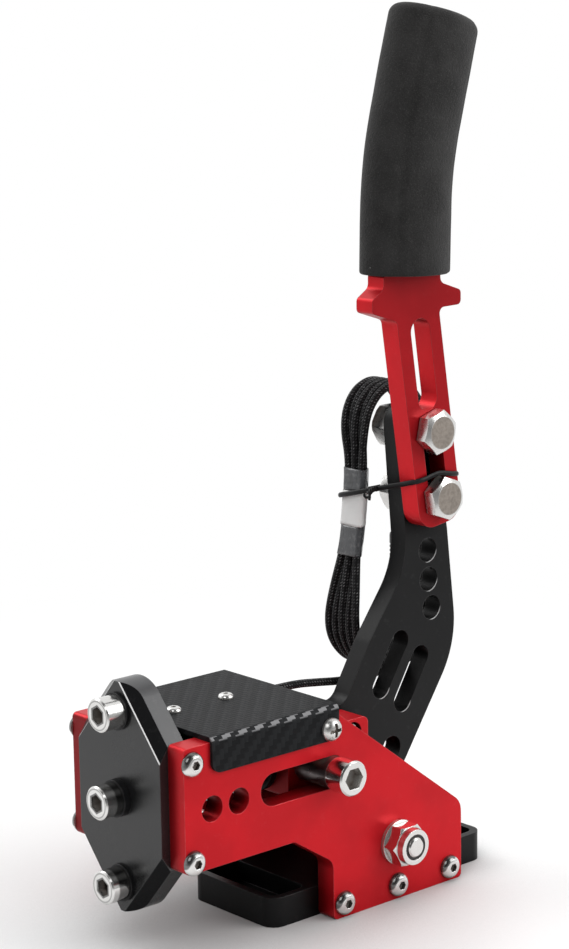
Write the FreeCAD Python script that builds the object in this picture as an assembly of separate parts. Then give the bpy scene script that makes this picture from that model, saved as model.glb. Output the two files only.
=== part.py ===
import FreeCAD, Part
import math
import os

# Sim racing handbrake. X runs from the front plate (driver's end) to the rear, Y across the two
# side plates, Z up. The origin lies under the lever's pivot, on the surface the base stands on.

V = FreeCAD.Vector

# Side plates
plate_thickness = 9.0
plate_gap = 49.0
plate_front_x = -108.0
plate_rear_x = 36.0
plate_top_z = 85.5
arm_bottom_z = 37.0
foot_front_x = -34.5
notch_front_x = -54.5
notch_low_z = 24.0
slope_top_x = -34.5
slope_low_z = 32.0
plate_corner_r = 2.0
plate_nose_r = 8.0
notch_r = 6.0

# Axes of the mechanism
pivot_z = 24.0
slot_z = 60.5
slot_front_x = -64.5
slot_rear_x = -34.5
lever_travel_deg = 22.0
drive_pin_x = -9.5
drive_pin_z = 66.7
side_hole_r = 5.0
side_hole_margin = 13.2
side_hole_spacing = 13.0
side_hole_z = 60.0

# Front plate
front_plate_thickness = 12.0
front_plate_proud = 4.0
front_plate_height = 90.0
front_plate_slope_deg = 49.3
front_plate_nose_r = 14.0
front_plate_bevel = 4.0
front_screw_spacing = 33.5

# Base block
base_front_x = -58.5
base_rear_x = 58.5
base_height = 12.0
base_corner_r = 6.0
base_wall = 3.0
base_floor = 4.0
base_pocket_front_end_x = -38.5
base_pocket_rear_start_x = 38.5
base_pocket_r = 3.5
base_hole_r = 3.3
base_hole_spacing_y = 30.0

# Cover
cover_front_margin = 12.7
cover_rear_x = -32.0
cover_thickness = 2.0
cover_flange_thickness = 1.5
cover_flange_z = 73.7
cover_corner_r = 4.0
cover_bend_r = 2.5
cover_side_screw_x = -36.4
cover_side_screw_z = 78.3
cover_top_screw_margin = 11.8
cover_top_screw_rear_x = -57.5
cover_top_screw_y = 2.0

# Fasteners: thread radius, head radius, head height, socket or flats across
m8_r = 4.0
m8_head_r = 6.5
m8_head_h = 8.0
m8_socket = 6.0
m8_washer_r = 9.0
m8_washer_h = 1.6
m8_nut_af = 13.0
m8_nut_h = 8.0
pivot_nut_af = 15.5
pivot_nut_h = 8.8
m5_r = 2.5
m5_head_r = 4.8
m5_head_h = 2.75
m5_socket = 3.2
pan_head_r = 4.6
pan_head_h = 3.2
pan_length = 9.0
m3_r = 1.5
m3_head_r = 3.1
m3_head_h = 1.8
m10_r = 5.0
m10_head_h = 6.4
m10_af = 16.0
m10_face_r = 6.65
m10_nut_h = 8.4
thread_gap = 0.1
screw_end_chamfer = 0.6
side_screw_margin = 3.8
side_screw_front_z = (79.2, 41.3)
side_screw_base_x = (-29.0, 0.0, 29.0)
side_screw_length = 14.0 + plate_thickness - 9.0
front_washer_h = 1.2
preload_collar_h = 3.0
front_washer_r = 7.2

# Lever plate
lever_thickness = 8.5
lever_foot_r = 11.0
lever_nose_x = -21.2
lever_nose_low_z = 59.5
lever_nose_r = (4.0, 7.5)
lever_shin_z = 52.0
lever_front_edge = ((-0.2, 74.8, 6.0), (13.5, 97.5, 20.0), (35.0, 126.1, 33.0))
lever_top_x = (29.6, 46.5)
lever_top_z = 191.4
lever_top_r = 8.0
lever_rear_edge = ((57.8, 138.5, 30.0), (63.3, 88.1, 41.0))
lever_heel_x = 12.0
lever_shin_r = 6.0
lever_slots = ((19.6, 77.2, 30.6, 94.5), (31.6, 69.2, 42.0, 86.0))
lever_slot_width = 9.3
lever_holes = ((46.5, 130.1), (47.0, 117.8), (48.6, 105.6), (25.3, 50.3))
lever_hole_r = 5.0
bush_wall = 2.0
bush_gap = 0.05
side_gap = 0.1
thrust_washer_h = 1.0
spacer_r = 8.0
drive_pin_r = 4.0
pin_play = 0.5

# Crosshead and cross bolt
crosshead_front_x = -44.0
crosshead_rear_x = -1.3
crosshead_height = 25.0
crosshead_half_width = 18.5
fork_gap = 10.0
fork_root_x = -25.0
sleeve_r = 6.4
slot_play = 0.1
sleeve_proud = 2.7
cross_head_r = 7.0
cross_socket = 8.0

# Return spring
spring_wire = 3.0
spring_mean_r = 9.5
spring_coils = 9
spring_end_pitch = 3.5
seat_r = 12.5
seat_h = 3.0
spring_seat_gap = 0.1
guide_rod_reach = 35.0

# Handle plate and grip
handle_thickness = 9.0
handle_lean_deg = 8.3
handle_half_width = 11.8
handle_slot_r = 5.25
handle_bolt_spacing = 27.8
handle_bolt_turn_deg = (39.5, 17.0)
handle_bolt_x = 44.1
handle_bolt_z = 154.0
handle_upper_slot = (41.7, 69.0)
handle_end_margin = 11.6
horn_half_width = 24.5
horn_rise = 80.0
horn_half_height = 2.9
neck_half_width = 15.6
neck_rise = 12.0
tang_half_width = 10.5
tang_gap = 0.2
grip_start_x = 29.8
grip_overlap = 0.5
grip_lean_low_deg = 2.0
grip_lean_high_deg = 15.5
grip_straight_low = 25.0
grip_bend_r = 155.0
grip_straight_high = 41.0
grip_half_depth = 20.5
grip_half_width = 15.6
grip_nose_r = 12.0
grip_end_round = 3.0
grip_end_cap = 5.0

# Sensor parts under the cover
board_margin = 5.3
board_width = 28.0
board_thickness = 1.6
board_rear_x = -44.0
standoff_h = 5.9
standoff_r = 2.6
chip_size = (4.0, 3.0, 1.5)
chip_x = -50.0
magnet_r = 2.5
magnet_h = 3.0
magnet_x = -41.0
magnet_gap = 0.2
connector_size = (9.5, 8.0, 4.8)
connector_y = 12.0
relief_length = 18.0
relief_big_r = 2.9
relief_small_r = 2.4

# Cord, hank and plug
cord_r = 1.65
cord_y = 12.0
cord_lever_gap = 0.5
hank_loops = 5
hank_pitch = 3.85
hank_right_x = 60.0
hank_right_low_z = 103.0
hank_right_top_z = 178.0
hank_top_z = 197.4
hank_bottom_z = 80.7
hank_left = (
    (27.8, 180.0, 0.0, 0.3), (29.0, 166.0, 0.0, 1.0),
    (25.9, 131.0, 0.2, 1.0), (18.8, 101.0, 0.0, 0.25),
)
bundle_pitch = 3.0
bundle_zigzag = 2.2
plug_x = 69.5
plug_step_y = 6.0
plug_body = (15.0, 7.6, 26.0)
plug_shell = (12.0, 4.5, 14.0)
tape_wall = 0.4
tape_gap = 0.42
tape_bands = ((157.5, 166.5), (131.0, 143.0))
tie_z = 164.1
tie_tilt_deg = 18.0
tie_size = 1.8
tie_gap = 0.55
tie_corner_r = 3.0

# Derived places
side_hole_x = (plate_front_x + side_hole_margin, plate_front_x + side_hole_margin + side_hole_spacing)
side_screw_front_x = plate_front_x + side_screw_margin
cover_front_x = plate_front_x + cover_front_margin
cover_top_screw_x = (cover_front_x + cover_top_screw_margin, cover_top_screw_rear_x)
board_length = board_rear_x - cover_front_x - board_margin
horn_z = handle_bolt_z + horn_rise
neck_top_z = horn_z + neck_rise
grip_start_z = neck_top_z - grip_overlap
plate_in = plate_gap / 2
plate_out = plate_in + plate_thickness
slot_r = sleeve_r + slot_play
cross_x = slot_rear_x
front_plate_x = plate_front_x - front_plate_proud
front_plate_back_x = front_plate_x + front_plate_thickness
cover_top_z = plate_top_z + cover_thickness
cover_out = plate_out + cover_flange_thickness
lever_side = lever_thickness / 2
handle_near = lever_side + handle_thickness
pin_arm = math.hypot(drive_pin_x, drive_pin_z - pivot_z)
pin_angle = math.atan2(drive_pin_z - pivot_z, drive_pin_x)
lever_travel = math.radians(lever_travel_deg)
pin_low_z = pivot_z + pin_arm * math.sin(pin_angle + lever_travel)
crosshead_low_z = slot_z - crosshead_height / 2
crosshead_top_z = slot_z + crosshead_height / 2
board_top_z = plate_top_z - standoff_h
cord_z = board_top_z + connector_size[2] / 2
hank_y = lever_side + cord_lever_gap + cord_r


def box(x0, x1, y0, y1, z0, z1):
    return Part.makeBox(x1 - x0, y1 - y0, z1 - z0, V(x0, y0, z0))


def rod(radius, start, end):
    axis = V(*end) - V(*start)
    return Part.makeCylinder(radius, axis.Length, V(*start), axis)


def cone(r0, r1, start, end):
    axis = V(*end) - V(*start)
    return Part.makeCone(r0, r1, axis.Length, V(*start), axis)


def ring(r_out, r_in, start, end):
    return rod(r_out, start, end).cut(rod(r_in, start, end))


def along_x(u, v):
    return V(0, u, v)


def along_y(u, v):
    return V(u, 0, v)


def along_z(u, v):
    return V(u, v, 0)


def corner_arc(before, corner, after, radius):
    """The tangent arc that rounds one corner, as start, middle and end."""
    into = (corner - before).normalize()
    out = (after - corner).normalize()
    turn = into.getAngle(out)
    reach = radius * math.tan(turn / 2)
    start = corner - into * reach
    end = corner + out * reach
    inward = (out - into).normalize()
    middle = corner + inward * (radius / math.cos(turn / 2) - radius)
    return start, middle, end


def rounded_wire(corners, place):
    """A closed wire through (u, v, radius) corners laid in a plane by place."""
    points = [place(c[0], c[1]) for c in corners]
    edges = []
    first = None
    last = None
    count = len(points)
    for i in range(count):
        radius = corners[i][2]
        if radius > 0:
            start, middle, end = corner_arc(points[i - 1], points[i], points[(i + 1) % count], radius)
        else:
            start = middle = end = points[i]
        if last is not None and last.distanceToPoint(start) > 1e-6:
            edges.append(Part.LineSegment(last, start).toShape())
        if radius > 0:
            edges.append(Part.Arc(start, middle, end).toShape())
        if first is None:
            first = start
        last = end
    if last.distanceToPoint(first) > 1e-6:
        edges.append(Part.LineSegment(last, first).toShape())
    return Part.Wire(edges)


def prism(corners, place, low, high):
    """A rounded outline in a plane, extruded along the plane's normal from low to high."""
    normal = {along_x: V(1, 0, 0), along_y: V(0, 1, 0), along_z: V(0, 0, 1)}[place]
    face = Part.Face(rounded_wire(corners, place))
    solid = face.extrude(normal * (high - low))
    solid.translate(normal * low)
    return solid


def slot_xz(x0, z0, x1, z1, radius, y0, y1):
    """A round-ended slot between two centres in the XZ plane."""
    along = V(x1 - x0, 0, z1 - z0).normalize()
    side = V(-along.z, 0, along.x) * radius
    a, b = V(x0, 0, z0), V(x1, 0, z1)
    edges = [
        Part.LineSegment(a + side, b + side).toShape(),
        Part.Arc(b + side, b + along * radius, b - side).toShape(),
        Part.LineSegment(b - side, a - side).toShape(),
        Part.Arc(a - side, a - along * radius, a + side).toShape(),
    ]
    solid = Part.Face(Part.Wire(edges)).extrude(V(0, y1 - y0, 0))
    solid.translate(V(0, y0, 0))
    return solid


def hexagon(across_flats, z0, z1):
    radius = across_flats / math.sqrt(3)
    points = [V(radius * math.cos(math.radians(60 * i)), radius * math.sin(math.radians(60 * i)), z0)
              for i in range(6)]
    return Part.Face(Part.makePolygon(points + [points[0]])).extrude(V(0, 0, z1 - z0))


def aim(shape, axis, at):
    """Turns a shape built along +Z so that +Z points along axis, then sets its origin at a point."""
    turned = shape.copy()
    turned.Placement = FreeCAD.Placement(V(*at), FreeCAD.Rotation(V(0, 0, 1), V(*axis)))
    return turned


def shank(radius, length):
    tip = cone(radius - screw_end_chamfer, radius, (0, 0, -length), (0, 0, -length + screw_end_chamfer))
    return rod(radius, (0, 0, -length + screw_end_chamfer), (0, 0, 0)).fuse(tip)


def socket_screw(radius, head_r, head_h, socket, length):
    rim = head_r * 0.09
    head = rod(head_r, (0, 0, 0), (0, 0, head_h - rim))
    head = head.fuse(cone(head_r, head_r - rim, (0, 0, head_h - rim), (0, 0, head_h)))
    head = head.cut(hexagon(socket, head_h * 0.45, head_h + 1))
    return head.fuse(shank(radius, length)).removeSplitter()


def button_screw(radius, head_r, head_h, socket, length):
    edge = head_h * 0.2
    top_r = head_r * 0.52
    profile = Part.Wire([
        Part.LineSegment(V(0, 0, 0), V(head_r, 0, 0)).toShape(),
        Part.LineSegment(V(head_r, 0, 0), V(head_r, 0, edge)).toShape(),
        Part.Arc(V(head_r, 0, edge), V(head_r * 0.84, 0, head_h * 0.74), V(top_r, 0, head_h)).toShape(),
        Part.LineSegment(V(top_r, 0, head_h), V(0, 0, head_h)).toShape(),
        Part.LineSegment(V(0, 0, head_h), V(0, 0, 0)).toShape(),
    ])
    head = Part.Face(profile).revolve(V(0, 0, 0), V(0, 0, 1), 360)
    head = head.cut(hexagon(socket, head_h * 0.4, head_h + 1))
    return head.fuse(shank(radius, length)).removeSplitter()


def cross_recess_screw(radius, head_r, head_h, length):
    edge = head_h * 0.25
    profile = Part.Wire([
        Part.LineSegment(V(0, 0, 0), V(head_r, 0, 0)).toShape(),
        Part.LineSegment(V(head_r, 0, 0), V(head_r, 0, edge)).toShape(),
        Part.Arc(V(head_r, 0, edge), V(head_r * 0.72, 0, head_h * 0.8), V(0, 0, head_h)).toShape(),
        Part.LineSegment(V(0, 0, head_h), V(0, 0, 0)).toShape(),
    ])
    head = Part.Face(profile).revolve(V(0, 0, 0), V(0, 0, 1), 360)
    arm, half = head_r * 0.6, head_r * 0.15
    floor_z = head_h * 0.42
    head = head.cut(box(-arm, arm, -half, half, floor_z, head_h + 1))
    head = head.cut(box(-half, half, -arm, arm, floor_z, head_h + 1))
    return head.fuse(shank(radius, length)).removeSplitter()


def lock_nut(af, height, bore_r, ring_r, ring_h):
    """A hexagon nut with a round collar on top, recessed for its nylon ring."""
    hex_h = height * 0.68
    hex_r = af / math.sqrt(3)
    body = hexagon(af, 0, hex_h)
    body = body.common(cone(hex_r + hex_h - 0.9, hex_r - 0.9, (0, 0, 0), (0, 0, hex_h)))
    body = body.fuse(cone(af * 0.49, af * 0.46, (0, 0, hex_h), (0, 0, height)))
    body = body.cut(rod(bore_r, (0, 0, -1), (0, 0, height + 1)))
    return body.cut(rod(ring_r, (0, 0, height - ring_h), (0, 0, height + 1)))


def plain_nut(af, height, bore_r):
    hex_r = af / math.sqrt(3)
    body = hexagon(af, 0, height)
    body = body.common(cone(hex_r - 0.9, hex_r + height, (0, 0, 0), (0, 0, height + 0.9)))
    body = body.common(cone(hex_r + height, hex_r - 0.9, (0, 0, -0.9), (0, 0, height)))
    return body.cut(rod(bore_r, (0, 0, -1), (0, 0, height + 1)))


def hex_screw(radius, af, face_r, head_h, length):
    """The head slopes down at 30 degrees from its round face to the corners."""
    face_h = 0.4
    head = hexagon(af, face_h, head_h)
    head = head.common(cone(face_r + head_h / math.tan(math.radians(30)), face_r, (0, 0, 0), (0, 0, head_h)))
    head = head.fuse(rod(af * 0.475, (0, 0, 0), (0, 0, face_h)))
    return head.fuse(shank(radius, length)).removeSplitter()


def arc_middle(start, tangent, end):
    """The middle point of the arc that leaves start along tangent and reaches end."""
    chord = end - start
    side = chord - tangent * chord.dot(tangent)
    if side.Length < 1e-7 * chord.Length:
        return None
    inward = side.normalize()
    radius = chord.Length ** 2 / (2 * chord.dot(inward))
    centre = start + inward * radius
    toward = ((start + end) * 0.5 - centre).normalize()
    if chord.dot(tangent) < 0:
        toward = toward * -1
    return centre + toward * radius


def arc_or_line(start, middle, end):
    if middle is None:
        return Part.LineSegment(start, end).toShape()
    return Part.Arc(start, middle, end).toShape()


def biarc(p0, t0, p1, t1):
    """Two tangent arcs that join p0 and p1 with the given unit tangents."""
    span = p1 - p0
    total = t0 + t1
    spread = 2 * (1 - t0.dot(t1))
    if spread < 1e-9:
        reach = span.Length ** 2 / (4 * span.dot(t1))
    else:
        lead = span.dot(total)
        reach = (math.sqrt(lead * lead + spread * span.dot(span)) - lead) / spread
    joint = (p0 + p1 + (t0 - t1) * reach) * 0.5
    return [arc_or_line(p0, arc_middle(p0, t0, joint), joint),
            arc_or_line(joint, arc_middle(p1, t1 * -1, joint), p1)]


def pipe(edges, radius, start, tangent):
    """A round tube along joined edges, from start, where it runs along tangent."""
    circle = Part.Circle(start, tangent, radius)
    shell = Part.BRepOffsetAPI.MakePipeShell(Part.Wire(edges))
    shell.add(Part.Wire([circle.toShape()]))
    shell.build()
    shell.makeSolid()
    return shell.shape()


def cord_tube(name, points, radius):
    """Straight runs joined by arcs, each arc as large as its two runs allow."""
    knots = [V(*p) for p in points]
    edges = []
    radii = []
    last = knots[0]
    for before, corner, after in zip(knots, knots[1:], knots[2:]):
        shorter = min((corner - before).Length, (after - corner).Length)
        turn = (corner - before).getAngle(after - corner)
        bend_r = 0.45 * shorter / math.tan(turn / 2)
        start, middle, end = corner_arc(before, corner, after, bend_r)
        edges.append(Part.LineSegment(last, start).toShape())
        edges.append(Part.Arc(start, middle, end).toShape())
        radii.append(bend_r)
        last = end
    edges.append(Part.LineSegment(last, knots[-1]).toShape())
    tube = pipe(edges, radius, knots[0], (knots[1] - knots[0]).normalize())
    length = sum(e.Length for e in edges)
    expected = math.pi * radius ** 2 * length
    print(name, "radii", [round(r, 1) for r in radii], "length", round(length, 1),
          "volume ratio", round(tube.Volume / expected, 4))
    return tube


def wound_tube(name, knots, radius):
    """One unbroken tube through (point, tangent) knots; prints its length and least gap to itself."""
    edges = []
    for (p0, t0), (p1, t1) in zip(knots, knots[1:]):
        edges += biarc(p0, t0, p1, t1)
    tube = pipe(edges, radius, knots[0][0], knots[0][1])
    samples = []
    walked = 0.0
    for edge in edges:
        count = max(2, int(edge.Length / 1.5))
        for i in range(count):
            low, high = edge.ParameterRange
            samples.append((walked + edge.Length * i / count, edge.valueAt(low + (high - low) * i / count)))
        walked += edge.Length
    far_along = 6 * radius
    gap = min(a[1].distanceToPoint(b[1]) for i, a in enumerate(samples) for b in samples[i + 1:]
              if b[0] - a[0] > far_along) - 2 * radius
    print(name, "length", round(walked, 1), "least gap", round(gap, 2),
          "volume ratio", round(tube.Volume / (math.pi * radius ** 2 * walked), 4))
    return tube


def save(name, solids):
    """Writes one node; a list of solids becomes one group."""
    shape = Part.makeCompound(solids) if isinstance(solids, list) else solids
    shape.exportStep("parts/" + name + ".step")
    volume = sum(s.Volume for s in shape.Solids)
    print(f"{name:22s} solids {len(shape.Solids)} valid {shape.isValid()} volume {volume:9.1f}")


# Side plates: an arm towards the front, a foot on the base block and a long sloping rear edge
def side_plate(side):
    near, far = sorted((side * plate_in, side * plate_out))
    outline = [
        (plate_front_x, plate_top_z, plate_corner_r),
        (slope_top_x, plate_top_z, plate_corner_r),
        (plate_rear_x, slope_low_z, plate_nose_r),
        (plate_rear_x, 0, plate_corner_r),
        (foot_front_x, 0, plate_corner_r),
        (foot_front_x, notch_low_z, notch_r),
        (notch_front_x, arm_bottom_z, plate_corner_r),
        (plate_front_x, arm_bottom_z, plate_corner_r),
    ]
    plate = prism(outline, along_y, near, far)
    plate = plate.cut(slot_xz(slot_front_x, slot_z, slot_rear_x, slot_z, slot_r, near - 1, far + 1))
    drilled = [(x, side_hole_z, side_hole_r) for x in side_hole_x]
    drilled.append((0, pivot_z, m8_r + thread_gap))
    drilled += [(side_screw_front_x, z, m5_r + thread_gap) for z in side_screw_front_z]
    drilled += [(x, base_height / 2, m5_r + thread_gap) for x in side_screw_base_x]
    for x, z, radius in drilled:
        plate = plate.cut(rod(radius, (x, near - 1, z), (x, far + 1, z)))
    blind = side * (plate_out + cover_flange_thickness - pan_length - 1)
    return plate.cut(rod(m5_r + thread_gap, (cover_side_screw_x, blind, cover_side_screw_z),
                         (cover_side_screw_x, side * (plate_out + 1), cover_side_screw_z)))


# Front plate: a tall hexagon with rounded ends, bevelled along its four slopes
def front_plate():
    half_h = front_plate_height / 2
    slope = math.radians(front_plate_slope_deg)
    apex = half_h + front_plate_nose_r * (1 / math.cos(slope) - 1)
    side = apex - plate_in * math.tan(slope)
    plate = prism([
        (0, slot_z + apex, front_plate_nose_r), (plate_in, slot_z + side, 0), (plate_in, slot_z - side, 0),
        (0, slot_z - apex, front_plate_nose_r), (-plate_in, slot_z - side, 0), (-plate_in, slot_z + side, 0),
    ], along_x, front_plate_x, front_plate_back_x)
    for up in (-1, 1):
        for out in (-1, 1):
            plate = plate.cut(slope_wedge(up, out, apex, slope))
    for z in front_screw_heights():
        plate = plate.cut(rod(m8_r + thread_gap, (front_plate_x - 1, 0, z), (front_plate_back_x + 1, 0, z)))
    for z in side_screw_front_z:
        for side in (-1, 1):
            reach = side * (plate_out - side_screw_length - 1)
            plate = plate.cut(rod(m5_r + thread_gap, (side_screw_front_x, reach, z),
                                  (side_screw_front_x, side * (plate_in + 1), z)))
    return plate.removeSplitter()


def slope_wedge(up, out, apex, slope):
    """The wedge taken off in front of one slope."""
    along = V(0, out * math.cos(slope), -up * math.sin(slope))
    normal = V(0, out * math.sin(slope), up * math.cos(slope))
    top = V(front_plate_x, 0, slot_z + up * apex) - along * 10
    ahead = V(1, 0, 0)
    over = 1.0
    triangle = Part.makePolygon([
        top - ahead * over - normal * (front_plate_bevel + over),
        top + ahead * (front_plate_bevel + over) + normal * over,
        top - ahead * over + normal * over,
        top - ahead * over - normal * (front_plate_bevel + over),
    ])
    return Part.Face(triangle).extrude(along * (plate_gap + 20))


def front_screw_heights():
    return slot_z + front_screw_spacing, slot_z, slot_z - front_screw_spacing


# Base block: open pockets at both ends, with mounting holes in their floors
def base_block():
    block = prism([
        (base_front_x, -plate_in, base_corner_r), (base_rear_x, -plate_in, base_corner_r),
        (base_rear_x, plate_in, base_corner_r), (base_front_x, plate_in, base_corner_r),
    ], along_z, 0, base_height)
    half = plate_in - base_wall
    for x0, x1 in base_pockets():
        block = block.cut(prism([
            (x0, -half, base_pocket_r), (x1, -half, base_pocket_r),
            (x1, half, base_pocket_r), (x0, half, base_pocket_r),
        ], along_z, base_floor, base_height + 1))
        for y in (-base_hole_spacing_y / 2, base_hole_spacing_y / 2):
            x = (x0 + x1) / 2
            block = block.cut(rod(base_hole_r, (x, y, -1), (x, y, base_height + 1)))
    for x in side_screw_base_x:
        for side in (-1, 1):
            reach = side * (plate_out - side_screw_length - 1)
            block = block.cut(rod(m5_r + thread_gap, (x, reach, base_height / 2),
                                  (x, side * (plate_in + 1), base_height / 2)))
    return block


def base_pockets():
    return ((base_front_x + base_wall, base_pocket_front_end_x),
            (base_pocket_rear_start_x, base_rear_x - base_wall))


# Cover: a bent cap over the plates' top edges, with a flange down each side
def cover():
    shell = prism([
        (-cover_out, cover_flange_z, 0), (-cover_out, cover_top_z, cover_bend_r),
        (cover_out, cover_top_z, cover_bend_r), (cover_out, cover_flange_z, 0),
        (plate_out, cover_flange_z, 0), (plate_out, plate_top_z, 0),
        (-plate_out, plate_top_z, 0), (-plate_out, cover_flange_z, 0),
    ], along_x, cover_front_x, cover_rear_x)
    shell = shell.common(prism([
        (cover_front_x, cover_flange_z, cover_corner_r), (cover_rear_x, cover_flange_z, cover_corner_r),
        (cover_rear_x, cover_top_z + 1, 0), (cover_front_x, cover_top_z + 1, 0),
    ], along_y, -cover_out, cover_out))
    for side in (-1, 1):
        shell = shell.cut(rod(m5_r + thread_gap, (cover_side_screw_x, side * (plate_out - 1), cover_side_screw_z),
                              (cover_side_screw_x, side * (cover_out + 1), cover_side_screw_z)))
    for x in cover_top_screw_x:
        shell = shell.cut(rod(m3_r + thread_gap, (x, cover_top_screw_y, plate_top_z - 1),
                              (x, cover_top_screw_y, cover_top_z + 1)))
    return shell


# Lever plate: the outline climbs from the round foot, widens at the slots and narrows to the top
def lever_plate():
    foot_low = pivot_z - lever_foot_r
    nose_top_z = lever_front_edge[0][1]
    outline = [(lever_heel_x, foot_low, lever_foot_r)]
    outline += reversed(lever_rear_edge)
    outline += [(x, lever_top_z, lever_top_r) for x in reversed(lever_top_x)]
    outline += reversed(lever_front_edge)
    outline += [
        (lever_nose_x, nose_top_z, lever_nose_r[1]),
        (lever_nose_x, lever_nose_low_z, lever_nose_r[0]),
        (-lever_foot_r, lever_shin_z, lever_shin_r),
        (-lever_foot_r, foot_low, lever_foot_r),
    ]
    plate = prism(outline, along_y, -lever_side, lever_side)
    bores = [
        (0, pivot_z, pivot_bush_r()),
        (drive_pin_x, drive_pin_z, drive_pin_r),
    ]
    bores += [(x, z, lever_hole_r) for x, z in lever_holes]
    bores += [(x, z, m10_r + thread_gap) for x, z in handle_bolt_places()]
    for x, z, radius in bores:
        plate = plate.cut(rod(radius, (x, -lever_side - 1, z), (x, lever_side + 1, z)))
    for x0, z0, x1, z1 in lever_slots:
        plate = plate.cut(slot_xz(x0, z0, x1, z1, lever_slot_width / 2, -lever_side - 1, lever_side + 1))
    return plate


def pivot_bush_r():
    return m8_r + bush_gap + bush_wall


def leg_up():
    lean = math.radians(handle_lean_deg)
    return V(-math.sin(lean), 0, math.cos(lean))


def handle_bolt_places():
    upper = V(handle_bolt_x, 0, handle_bolt_z) + leg_up() * handle_bolt_spacing
    return (handle_bolt_x, handle_bolt_z), (upper.x, upper.z)


def grip_line():
    """The grip's centreline: two straight stretches joined by one arc, in the XZ plane."""
    low, high = math.radians(grip_lean_low_deg), math.radians(grip_lean_high_deg)
    start = V(grip_start_x, 0, grip_start_z)
    bend_start = start + V(math.sin(low), 0, math.cos(low)) * grip_straight_low
    centre = bend_start + V(math.cos(low), 0, -math.sin(low)) * grip_bend_r
    middle = (low + high) / 2
    bend_middle = centre - V(math.cos(middle), 0, -math.sin(middle)) * grip_bend_r
    bend_end = centre - V(math.cos(high), 0, -math.sin(high)) * grip_bend_r
    end = bend_end + V(math.sin(high), 0, math.cos(high)) * grip_straight_high
    return start, bend_start, bend_middle, bend_end, end


def tang(half_width, shorter_by, y0, y1):
    """A flat tongue along the grip's centreline."""
    start, bend_start, bend_middle, bend_end, end = grip_line()
    low, high = math.radians(grip_lean_low_deg), math.radians(grip_lean_high_deg)
    middle = (low + high) / 2
    sides = []
    for sign in (-1, 1):
        across = [V(math.cos(a), 0, -math.sin(a)) * sign * half_width for a in (low, middle, high)]
        tip = end - V(math.sin(high), 0, math.cos(high)) * shorter_by
        sides.append((start - V(0, 0, 3) + across[0], bend_start + across[0],
                      bend_middle + across[1], bend_end + across[2], tip + across[2]))
    left, right = sides
    edges = []
    for a, b, c, d, e in (left, right):
        edges += [Part.LineSegment(a, b).toShape(), Part.Arc(b, c, d).toShape(),
                  Part.LineSegment(d, e).toShape()]
    edges += [Part.LineSegment(left[0], right[0]).toShape(), Part.LineSegment(left[-1], right[-1]).toShape()]
    face = Part.Face(Part.Wire(Part.__sortEdges__(edges)))
    solid = face.extrude(V(0, y1 - y0, 0))
    solid.translate(V(0, y0, 0))
    return solid


# Handle plate: a leg with two slots in line, a level pair of horns and a tang that the grip is pushed over
def handle_plate():
    up = leg_up()
    across = V(up.z, 0, -up.x)
    foot = V(handle_bolt_x, 0, handle_bolt_z)
    low = foot - up * handle_end_margin
    reach = (horn_z - horn_half_height - foot.z) / up.z
    top_left = foot + up * reach - across * handle_half_width
    top_right = foot + up * reach + across * handle_half_width
    low_left = low - across * handle_half_width
    low_right = low + across * handle_half_width
    axis_x = (foot + up * ((horn_z - foot.z) / up.z)).x
    neck_x = grip_start_x
    outline = [
        (low_left.x, low_left.z, 8.0),
        (top_left.x, top_left.z - 2.0, 2.5),
        (axis_x - horn_half_width, horn_z - horn_half_height + 0.6, 2.0),
        (axis_x - horn_half_width, horn_z + horn_half_height, 2.0),
        (neck_x - neck_half_width, horn_z + horn_half_height + 4.0, 3.0),
        (neck_x - neck_half_width, neck_top_z, 1.0),
        (neck_x + neck_half_width, neck_top_z, 1.0),
        (neck_x + neck_half_width, horn_z + horn_half_height + 4.0, 3.0),
        (axis_x + horn_half_width, horn_z + horn_half_height, 2.0),
        (axis_x + horn_half_width, horn_z - horn_half_height, 2.0),
        (top_right.x, top_right.z - 2.0, 2.5),
        (low_right.x, low_right.z, 8.0),
    ]
    plate = prism(outline, along_y, -handle_near, -lever_side)
    for s0, s1 in ((0, handle_bolt_spacing), handle_upper_slot):
        a, b = foot + up * s0, foot + up * s1
        plate = plate.cut(slot_xz(a.x, a.z, b.x, b.z, handle_slot_r, -handle_near - 1, -lever_side + 1))
    plate = plate.fuse(tang(tang_half_width, grip_end_cap, -handle_near, -lever_side))
    return plate.removeSplitter()


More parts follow.
